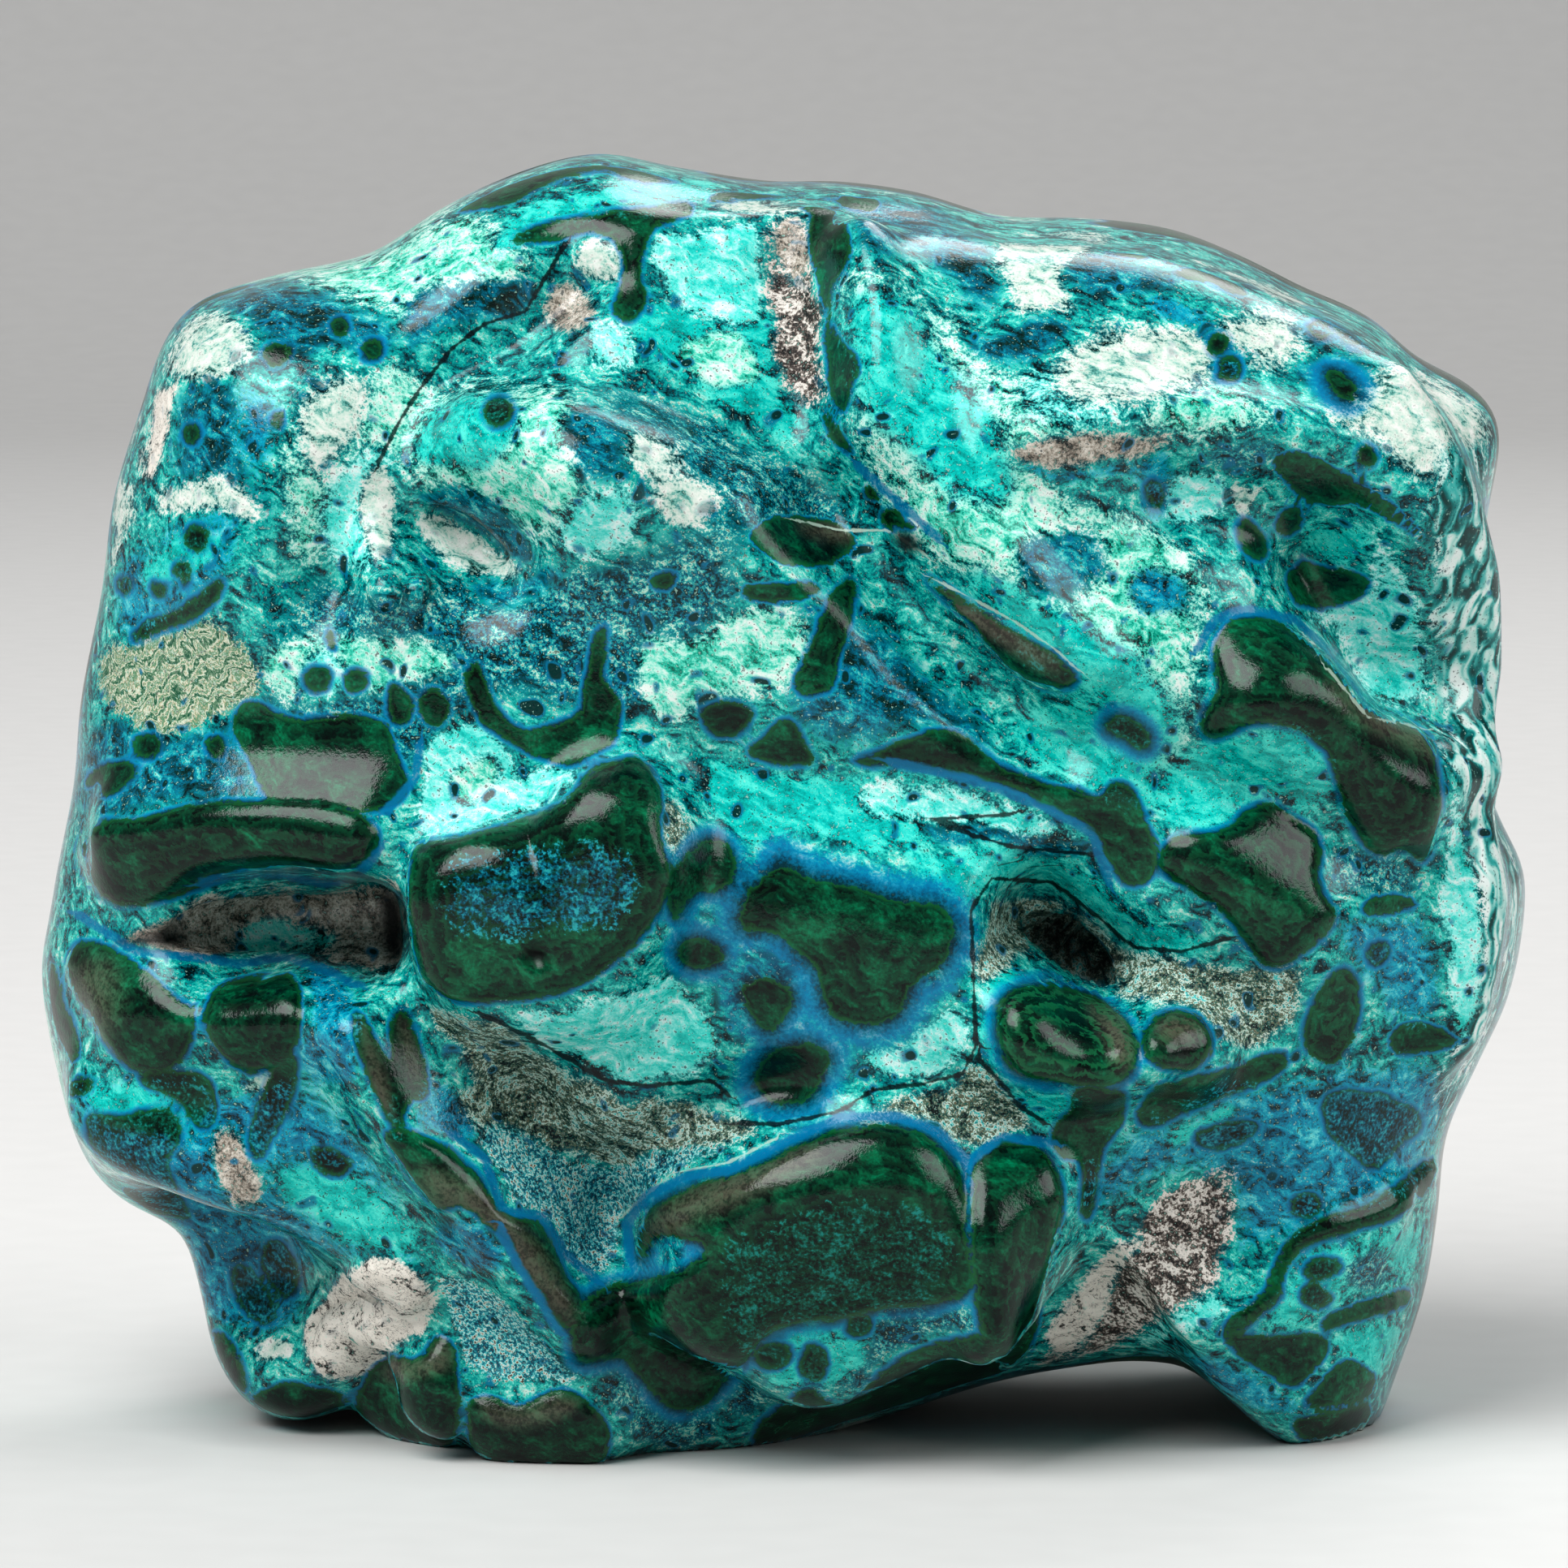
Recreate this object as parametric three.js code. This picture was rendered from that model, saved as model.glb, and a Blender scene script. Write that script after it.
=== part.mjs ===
// A polished boulder of chrysocolla and malachite, one piece of stone that stands on its own ground-flat feet.
// Millimetres, +Z up. The show face looks along -Y. The origin is under the middle of the stone's box, on the floor.
import * as THREE from "three";
import { mergeVertices } from "three/addons/utils/BufferGeometryUtils.js";

// Driving sizes
const FRONT_DEPTH = 35; // how far the show face bulges from the rim
const BACK_DEPTH = 36; // how far the back bulges from the rim
const CENTRE_HEIGHT = 52; // the point that the outline is drawn round
const ROUNDNESS = 2.7; // 2 is an egg, more is boxier
const CALM_WIDTH = 61; // half sizes of the smooth oval that the faces follow away from the rim
const CALM_HEIGHT = 55;
const RIM_BLEND = [0.45, 1]; // where the oval gives way to the true outline, as shares of the way out
const RIM_WANDER = [4, 2.36, 2.2, 3.93]; // the rim's sway in depth: size and phase of its two waves

// Mesh
const CELLS = [34, 18, 30]; // cells of the six-sided grid along X, Y and Z
const FRONT_BIAS = 0.3; // moves grid lines towards the show face
const POLISH = [0.5, 0.3]; // each pass draws every point this share of the way to its neighbours' middle

// The outline seen from the front, in X and Z, from the left shoulder clockwise.
const OUTLINE = [
  [-50, 96.8], [-44.5, 98.7], [-35.5, 100.8], [-29, 104.8], [-24, 107.2], [-18.3, 109], [-15, 109.3], [-9, 108.1],
  [-1.4, 106.9], [5, 106.8], [11, 106], [19, 103.8], [27.5, 103.5], [33.8, 102.6], [39.8, 100.3], [45, 97.7],
  [50.6, 95.2], [54.8, 91.7], [59.9, 88.9], [61.6, 85.8], [60.6, 79], [59.4, 70.2], [58.9, 63.2], [60.1, 56.9],
  [62.2, 51.6], [64, 48], [64.2, 44.5], [62.9, 36.8], [60.3, 30.8], [57.7, 24.5], [57, 17.5], [56, 11],
  [53.8, 4.1], [51.6, -1.5], [48.6, -4.6], [45, -4], [41, 0.4], [37.4, 3.6], [32, 4.8], [26, 4.4], [19, 3.2], [12, 1.2],
  [3, -1.5], [-6, -5], [-16, -6.5], [-26, -5], [-33.5, -1.5], [-37.5, 1.6], [-41, 0.2], [-45.7, 1.3], [-49, 5.5],
  [-50.4, 11], [-52.2, 16.2], [-57, 19.3], [-60.2, 23], [-62.7, 31.3], [-63.8, 39.5], [-62.9, 44.8],
  [-60.9, 54.9], [-60.2, 62], [-58.2, 72], [-57, 80.4], [-54.6, 88], [-52.4, 94],
];

// The relief. Each form follows a line of points in X and Z on one face. Rise is its height in mm, below zero for
// a hollow, reach is how far it spreads, and edge is how sharply it ends: 2 for a swell, 4 to 8 for a ledge.
const FRONT = "front";
const BACK = "back";
const RELIEF = [
  // Crown and the top right mass
  { name: "crown vein", face: FRONT, rise: 1.4, reach: 3.2, edge: 2, line: [[-22, 101.5], [-7, 103.5], [2, 104], [5, 100]] },
  { name: "window", face: FRONT, rise: -2.2, reach: 6.5, edge: 2, line: [[-5.8, 99], [-5.1, 94.5], [-1.8, 88.8]] },
  { name: "seam", face: FRONT, rise: -2.4, reach: 3.2, edge: 2, line: [[1.3, 101.5], [2.3, 96], [3, 90], [5.3, 85.7], [9.7, 82]] },
  { name: "right mass", face: FRONT, rise: 3.2, reach: 13, edge: 4, line: [[17, 94], [31, 92], [42, 88]] },
  { name: "right mass edge", face: FRONT, rise: 3.4, reach: 3.4, edge: 2, line: [[6, 101], [7, 94], [7, 88], [12, 82.5], [18, 76.5], [25, 68]] },
  { name: "under the lip", face: FRONT, rise: -4.6, reach: 3.8, edge: 2, line: [[2.3, 80.7], [8.4, 76], [13, 70], [18, 65.5], [24, 62.5]] },
  { name: "lower right dome", face: FRONT, rise: 2.2, reach: 9, edge: 2, line: [[22, 82], [29, 76], [31, 68]] },
  // Right edge
  { name: "arc ridge", face: FRONT, rise: 3, reach: 3, edge: 2, line: [[20, 86], [29, 87], [36, 86.5], [45, 84.5], [51, 78.5], [54, 71]] },
  { name: "arc hollow", face: FRONT, rise: -3.8, reach: 4, edge: 2, line: [[32, 81.5], [40, 80], [45, 79]] },
  { name: "right hollow", face: FRONT, rise: -6, reach: 5, edge: 2, line: [[46, 76], [49.5, 71], [51.5, 66]] },
  { name: "right ridge", face: FRONT, rise: 3.6, reach: 3.8, edge: 2, line: [[50, 88], [54.5, 82], [57.5, 74], [58, 66], [57, 59]] },
  { name: "right band", face: FRONT, rise: 2.8, reach: 4, edge: 2, line: [[57, 55], [58.5, 49], [58, 42], [56.5, 36]] },
  { name: "right green lobe", face: FRONT, rise: 4.8, reach: 6, edge: 4, line: [[41, 64], [47, 62], [51.5, 58]] },
  { name: "cyan bay", face: FRONT, rise: -2.2, reach: 4, edge: 2, line: [[33, 59], [38, 58.5]] },
  { name: "lower green lobe", face: FRONT, rise: 2.4, reach: 6, edge: 2, line: [[35, 52], [40, 48], [43, 45]] },
  // Left shoulder
  { name: "left lobe", face: FRONT, rise: 3, reach: 9, edge: 2, line: [[-44, 91], [-44, 86], [-43.5, 77]] },
  { name: "left valley", face: FRONT, rise: -4.8, reach: 3.8, edge: 2, line: [[-18, 101], [-22, 97], [-28.7, 91.5], [-32, 86.5], [-36, 81], [-38, 75]] },
  { name: "mint lobe", face: FRONT, rise: 3.8, reach: 7, edge: 2, line: [[-26, 87.5], [-21, 86], [-16.5, 83]] },
  { name: "pocket", face: FRONT, rise: -6.2, reach: 4.6, edge: 2, line: [[-29, 80], [-24.5, 77.8]] },
  { name: "pillar", face: FRONT, rise: 2.6, reach: 3.2, edge: 2, line: [[-34, 84], [-34.5, 79], [-33, 74.5]] },
  { name: "centre lobe", face: FRONT, rise: 3.6, reach: 7, edge: 2, line: [[-16, 85], [-9, 83.5], [-1, 80.5]] },
  { name: "arc crease", face: FRONT, rise: -2.4, reach: 3, edge: 2, line: [[-22, 91.5], [-14.5, 92], [-8, 89.5], [-1, 86], [4.5, 82.5]] },
  // Middle
  { name: "terrace", face: FRONT, rise: -2.6, reach: 4.4, edge: 2, line: [[-5.8, 60], [2.3, 58], [11, 57], [20.5, 54.5], [27.9, 51]] },
  { name: "cluster", face: FRONT, rise: 2.2, reach: 12, edge: 2, line: [[3, 48], [9, 44], [4, 37]] },
  { name: "block", face: FRONT, rise: 6.8, reach: 7.2, edge: 6, line: [[-23.5, 48.5], [-22.5, 44.5], [-17.5, 44.5], [-15, 48.5], [-13.6, 53]] },
  { name: "slot", face: FRONT, rise: -11, reach: 4.4, edge: 4, line: [[-46, 45.2], [-41, 46.4], [-36, 45.8]] },
  { name: "slot brow", face: FRONT, rise: 3.8, reach: 5, edge: 2, line: [[-54, 53.5], [-47, 54.5], [-40, 54.5], [-35, 54]] },
  { name: "slot sill", face: FRONT, rise: 2.6, reach: 4.6, edge: 2, line: [[-54, 37.5], [-48, 38], [-42, 38]] },
  { name: "pit", face: FRONT, rise: -10.5, reach: 4.5, edge: 3, line: [[22, 46.4], [26.5, 42.4]] },
  { name: "pit ledge", face: FRONT, rise: -1.6, reach: 4, edge: 2, line: [[32, 42.4], [38, 41]] },
  { name: "banded knob", face: FRONT, rise: 5, reach: 5.4, edge: 4, line: [[21.8, 37.6], [25.5, 36.6]] },
  { name: "banded knob, small", face: FRONT, rise: 4.2, reach: 4, edge: 3, line: [[32, 36.5], [34, 36]] },
  // Lower face
  { name: "botryoid", face: FRONT, rise: 7, reach: 8.5, edge: 4, line: [[-4, 18], [1, 22.5], [8.4, 23], [10.4, 17.5], [2.3, 13.5]] },
  { name: "botryoid, side", face: FRONT, rise: 5, reach: 5.4, edge: 4, line: [[19.8, 22.5], [19, 16.5]] },
  { name: "channel", face: FRONT, rise: -3.4, reach: 3.6, edge: 2, line: [[-13.6, 19], [-12.6, 24.5], [-7.4, 29.5], [-0.4, 32.5]] },
  { name: "vee hollow", face: FRONT, rise: -5.8, reach: 4.6, edge: 2, line: [[-22, 30.5], [-18.4, 25.5], [-15.4, 19.4]] },
  { name: "brown ridge", face: FRONT, rise: 5.6, reach: 4, edge: 2, line: [[-34.8, 38], [-32.5, 33], [-28.7, 27.8], [-24, 22.8], [-20.6, 18], [-16.6, 13.5]] },
  { name: "set-back toe", face: FRONT, rise: -8, reach: 8, edge: 3, line: [[-48.2, 14], [-43, 10.5], [-38.5, 8]] },
  { name: "overhang", face: FRONT, rise: 3.4, reach: 5, edge: 2, line: [[-57, 29], [-51.5, 26.5], [-45, 24]] },
  { name: "green toe", face: FRONT, rise: 5.2, reach: 4.6, edge: 3, line: [[-30.5, 7]] },
  { name: "green toe, wide", face: FRONT, rise: 3.6, reach: 5.4, edge: 3, line: [[-22, 4], [-16.6, 4]] },
  { name: "toe channel", face: FRONT, rise: -3, reach: 3.2, edge: 2, line: [[-13.4, 12], [-9.8, 8.5], [-4.4, 6]] },
  { name: "matrix flat", face: FRONT, rise: -2.8, reach: 7, edge: 3, line: [[26, 15], [31, 19], [36, 22]] },
  { name: "foot ridge", face: FRONT, rise: 1.8, reach: 3.4, edge: 2, line: [[35, 12], [42.7, 14.5], [51, 20]] },
  { name: "foot", face: FRONT, rise: 1.2, reach: 5.5, edge: 2, line: [[46, 5], [49, 7]] },
  // Arch that parts the feet, right through
  { name: "arch, front", face: FRONT, rise: -3, reach: 7.5, edge: 4, line: [[27, 0], [35, 0]] },
  { name: "arch, back", face: BACK, rise: -4, reach: 8, edge: 4, line: [[25, 0], [34, 0]] },
  // Back
  { name: "back shoulder", face: BACK, rise: 4, reach: 15, edge: 3, line: [[-34, 82], [-18, 88]] },
  { name: "back saddle", face: BACK, rise: -5.5, reach: 10, edge: 2, line: [[-50, 66], [-28, 62], [-6, 70], [8, 84]] },
  { name: "back belly", face: BACK, rise: 5, reach: 16, edge: 3, line: [[-24, 34], [0, 38]] },
  { name: "back ridge", face: BACK, rise: 3.6, reach: 6, edge: 2, line: [[18, 92], [26, 76], [22, 60], [34, 44], [30, 26]] },
  { name: "back hollow", face: BACK, rise: -6, reach: 8, edge: 2, line: [[42, 74], [46, 58]] },
  { name: "back pocket", face: BACK, rise: -5.5, reach: 5, edge: 3, line: [[2, 58], [9, 54]] },
  { name: "back knob", face: BACK, rise: 3.4, reach: 5.5, edge: 4, line: [[-42, 44]] },
  { name: "back knob, low", face: BACK, rise: 3, reach: 7, edge: 3, line: [[14, 20], [20, 14]] },
  { name: "back groove", face: BACK, rise: -3, reach: 4, edge: 2, line: [[-52, 30], [-36, 20], [-14, 18], [6, 10]] },
];

const clamp01 = (t) => Math.min(1, Math.max(0, t));
const smoothstep = (from, to, v) => {
  const t = clamp01((v - from) / (to - from));
  return t * t * (3 - 2 * t);
};

// The outline as distance from the centre against angle, with slopes for a smooth curve through its points.
function polarOutline() {
  const knots = OUTLINE.map(([x, z]) => ({
    angle: Math.atan2(z - CENTRE_HEIGHT, x),
    radius: Math.hypot(x, z - CENTRE_HEIGHT),
  })).sort((a, b) => a.angle - b.angle);
  const count = knots.length;
  const turn = 2 * Math.PI;
  knots.forEach((knot, i) => {
    const before = knots[(i + count - 1) % count];
    const after = knots[(i + 1) % count];
    const span = (after.angle - before.angle + turn) % turn;
    knot.slope = (after.radius - before.radius) / span;
  });
  return knots;
}
const KNOTS = polarOutline();

function outlineRadius(angle) {
  const turn = 2 * Math.PI;
  let i = KNOTS.findIndex((knot) => knot.angle > angle);
  if (i < 0) i = 0;
  const after = KNOTS[i];
  const before = KNOTS[(i + KNOTS.length - 1) % KNOTS.length];
  const span = (after.angle - before.angle + turn) % turn;
  const t = ((angle - before.angle + turn) % turn) / span;
  const t2 = t * t;
  const t3 = t2 * t;
  return (
    (2 * t3 - 3 * t2 + 1) * before.radius +
    (t3 - 2 * t2 + t) * span * before.slope +
    (3 * t2 - 2 * t3) * after.radius +
    (t3 - t2) * span * after.slope
  );
}

function calmRadius(angle) {
  const across = Math.abs(Math.cos(angle)) / CALM_WIDTH;
  const up = Math.abs(Math.sin(angle)) / CALM_HEIGHT;
  return (across ** ROUNDNESS + up ** ROUNDNESS) ** (-1 / ROUNDNESS);
}

// The face's radius at a share of the way out to the rim.
function faceRadius(angle, share) {
  const rim = smoothstep(RIM_BLEND[0], RIM_BLEND[1], share);
  return calmRadius(angle) * (1 - rim) + outlineRadius(angle) * rim;
}

function rimDepth(angle) {
  const [sizeA, phaseA, sizeB, phaseB] = RIM_WANDER;
  return sizeA * Math.sin(angle + phaseA) + sizeB * Math.sin(3 * angle + phaseB);
}

// The plain boulder: a point at an angle round the centre and a share of the way out, on the front or the back.
function boulderPoint(angle, share, front) {
  const radius = faceRadius(angle, share) * share;
  const bulge = (1 - share ** ROUNDNESS) ** (1 / ROUNDNESS);
  const depth = front ? -FRONT_DEPTH * bulge : BACK_DEPTH * bulge;
  return new THREE.Vector3(
    radius * Math.cos(angle),
    depth + rimDepth(angle) * (1 - bulge),
    CENTRE_HEIGHT + radius * Math.sin(angle),
  );
}

// The point of the plain boulder in front of, or behind, X and Z.
function pointOnFace([x, z], front) {
  const angle = Math.atan2(z - CENTRE_HEIGHT, x);
  const distance = Math.hypot(x, z - CENTRE_HEIGHT);
  let share = distance / outlineRadius(angle);
  for (let pass = 0; pass < 12; pass++) share = Math.min(1, distance / faceRadius(angle, Math.min(1, share)));
  return boulderPoint(angle, share, front);
}

// A closed grid on the unit sphere, six square patches, as directions from the centre.
function gridDirections() {
  const box = new THREE.BoxGeometry(2, 2, 2, ...CELLS);
  box.deleteAttribute("normal");
  box.deleteAttribute("uv");
  const grid = mergeVertices(box, 1e-4);
  const place = grid.attributes.position;
  const even = (t) => Math.tan((t * Math.PI) / 4);
  for (let i = 0; i < place.count; i++) {
    const way = new THREE.Vector3(even(place.getX(i)), even(place.getY(i)), even(place.getZ(i))).normalize();
    way.y -= FRONT_BIAS;
    way.normalize();
    place.setXYZ(i, way.x, way.y, way.z);
  }
  return grid;
}

function shapeBoulder(geometry) {
  const place = geometry.attributes.position;
  for (let i = 0; i < place.count; i++) {
    const way = new THREE.Vector3().fromBufferAttribute(place, i);
    const share = Math.min(1, Math.hypot(way.x, way.z)) ** (2 / ROUNDNESS);
    const point = boulderPoint(Math.atan2(way.z, way.x), share, way.y < 0);
    place.setXYZ(i, point.x, point.y, point.z);
  }
}

const segment = new THREE.Line3();
const nearest = new THREE.Vector3();

function distanceToLine(point, line) {
  if (line.length === 1) return point.distanceTo(line[0]);
  let least = Infinity;
  for (let i = 1; i < line.length; i++) {
    segment.set(line[i - 1], line[i]).closestPointToPoint(point, true, nearest);
    least = Math.min(least, point.distanceTo(nearest));
  }
  return least;
}

// Raises ridges and lobes and sinks hollows, each along the plain boulder's normals.
function carveRelief(geometry) {
  geometry.computeVertexNormals();
  const forms = RELIEF.map((form) => ({
    ...form,
    points: form.line.map((place) => pointOnFace(place, form.face === FRONT)),
  }));
  const place = geometry.attributes.position;
  const normals = geometry.attributes.normal;
  const point = new THREE.Vector3();
  const normal = new THREE.Vector3();
  for (let i = 0; i < place.count; i++) {
    point.fromBufferAttribute(place, i);
    normal.fromBufferAttribute(normals, i);
    let rise = 0;
    for (const form of forms) {
      const away = distanceToLine(point, form.points) / form.reach;
      rise += form.rise * Math.exp(-(away ** form.edge));
    }
    point.addScaledVector(normal, rise);
    place.setXYZ(i, point.x, point.y, point.z);
  }
  geometry.deleteAttribute("normal");
}

// Rounds off what the polishing would have: saw-toothed edges round the pits and ledges.
function polish(geometry) {
  const place = geometry.attributes.position;
  const corners = geometry.index.array;
  for (const share of POLISH) {
    const sums = new Float64Array(place.count * 3);
    const counts = new Float64Array(place.count);
    for (let i = 0; i < corners.length; i++) {
      const from = corners[i];
      const to = corners[i % 3 === 2 ? i - 2 : i + 1];
      sums[3 * from] += place.getX(to);
      sums[3 * from + 1] += place.getY(to);
      sums[3 * from + 2] += place.getZ(to);
      counts[from] += 1;
    }
    const middle = new THREE.Vector3();
    const point = new THREE.Vector3();
    for (let i = 0; i < place.count; i++) {
      middle.fromArray(sums, 3 * i).divideScalar(counts[i]);
      point.fromBufferAttribute(place, i).lerp(middle, share);
      place.setXYZ(i, point.x, point.y, point.z);
    }
  }
}

// Grinds the feet flat: what reaches below the floor is drawn back to it, towards the centre.
function grindFeet(geometry) {
  const place = geometry.attributes.position;
  for (let i = 0; i < place.count; i++) {
    const z = place.getZ(i);
    if (z >= 0) continue;
    const kept = CENTRE_HEIGHT / (CENTRE_HEIGHT - z);
    place.setXYZ(i, place.getX(i) * kept, place.getY(i) * kept, 0);
  }
}

function centreOverOrigin(geometry) {
  geometry.computeBoundingBox();
  const { min, max } = geometry.boundingBox;
  geometry.translate(-(min.x + max.x) / 2, -(min.y + max.y) / 2, -min.z);
}

function makeStone() {
  const geometry = gridDirections();
  shapeBoulder(geometry);
  carveRelief(geometry);
  polish(geometry);
  grindFeet(geometry);
  centreOverOrigin(geometry);
  geometry.computeVertexNormals();
  const polished = new THREE.MeshStandardMaterial({ color: 0x1e8f92, roughness: 0.25, metalness: 0 });
  const stone = new THREE.Mesh(geometry, polished);
  stone.name = "stone";
  return stone;
}

const specimen = new THREE.Group();
specimen.add(makeStone());

export default specimen;
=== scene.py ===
"""A polished boulder of chrysocolla and malachite, standing on its ground-flat feet on a pale floor."""

import math

import bpy
import numpy as np
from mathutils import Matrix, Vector


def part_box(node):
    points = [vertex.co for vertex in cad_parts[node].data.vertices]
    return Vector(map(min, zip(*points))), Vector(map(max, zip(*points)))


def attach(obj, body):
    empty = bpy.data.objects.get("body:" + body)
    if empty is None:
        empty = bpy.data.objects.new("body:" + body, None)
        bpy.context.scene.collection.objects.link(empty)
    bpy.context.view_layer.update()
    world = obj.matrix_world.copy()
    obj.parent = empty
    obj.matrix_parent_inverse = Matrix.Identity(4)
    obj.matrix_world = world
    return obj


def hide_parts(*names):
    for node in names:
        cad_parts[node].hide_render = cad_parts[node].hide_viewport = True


bl_info = {
    "name": "Chrysocolla Specimen",
    "version": (1, 0, 0),
    "blender": (4, 5, 0),
    "location": "View3D > Sidebar > Specimen",
    "description": "Builds a polished chrysocolla and malachite boulder and its studio",
    "category": "Object",
}

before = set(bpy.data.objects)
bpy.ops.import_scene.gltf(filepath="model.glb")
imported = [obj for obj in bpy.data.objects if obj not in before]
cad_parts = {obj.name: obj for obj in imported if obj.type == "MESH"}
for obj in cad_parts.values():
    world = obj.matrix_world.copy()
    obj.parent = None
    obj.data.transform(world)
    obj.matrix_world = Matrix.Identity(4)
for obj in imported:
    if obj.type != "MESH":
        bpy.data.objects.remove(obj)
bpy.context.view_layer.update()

# ---------------------------------------------------------------- the stone's form, in millimetres
FRONT_DEPTH = 35.0
BACK_DEPTH = 36.0
CENTRE_HEIGHT = 52.0
ROUNDNESS = 2.7
CALM_WIDTH = 61.0
CALM_HEIGHT = 55.0
RIM_BLEND = (0.45, 1.0)
RIM_WANDER = (4.0, 2.36, 2.2, 3.93)
GRID = (160, 80, 140)
FRONT_BIAS = 0.36
SEED = 11

# The outline seen from the front, in X and Z, from the left shoulder clockwise.
OUTLINE = [
    (-50, 96.8), (-44.5, 98.7), (-35.5, 100.8), (-29, 104.8), (-24, 107.2), (-18.3, 109), (-15, 109.3), (-9, 108.1),
    (-1.4, 106.9), (5, 106.8), (11, 106), (19, 103.8), (27.5, 103.5), (33.8, 102.6), (39.8, 100.3), (45, 97.7),
    (50.6, 95.2), (54.8, 91.7), (59.9, 88.9), (61.6, 85.8), (60.6, 79), (59.4, 70.2), (58.9, 63.2), (60.1, 56.9),
    (62.2, 51.6), (64, 48), (64.2, 44.5), (62.9, 36.8), (60.3, 30.8), (57.7, 24.5), (57, 17.5), (56, 11),
    (53.8, 4.1), (51.6, -1.5), (48.6, -4.6), (45, -4), (41, 0.4), (37.4, 3.6), (32, 4.8), (26, 4.4), (19, 3.2), (12, 1.2),
    (3, -1.5), (-6, -5), (-16, -6.5), (-26, -5), (-33.5, -1.5), (-37.5, 1.6), (-41, 0.2), (-45.7, 1.3), (-49, 5.5),
    (-50.4, 11), (-52.2, 16.2), (-57, 19.3), (-60.2, 23), (-62.7, 31.3), (-63.8, 39.5), (-62.9, 44.8),
    (-60.9, 54.9), (-60.2, 62), (-58.2, 72), (-57, 80.4), (-54.6, 88), (-52.4, 94),
]

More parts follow.
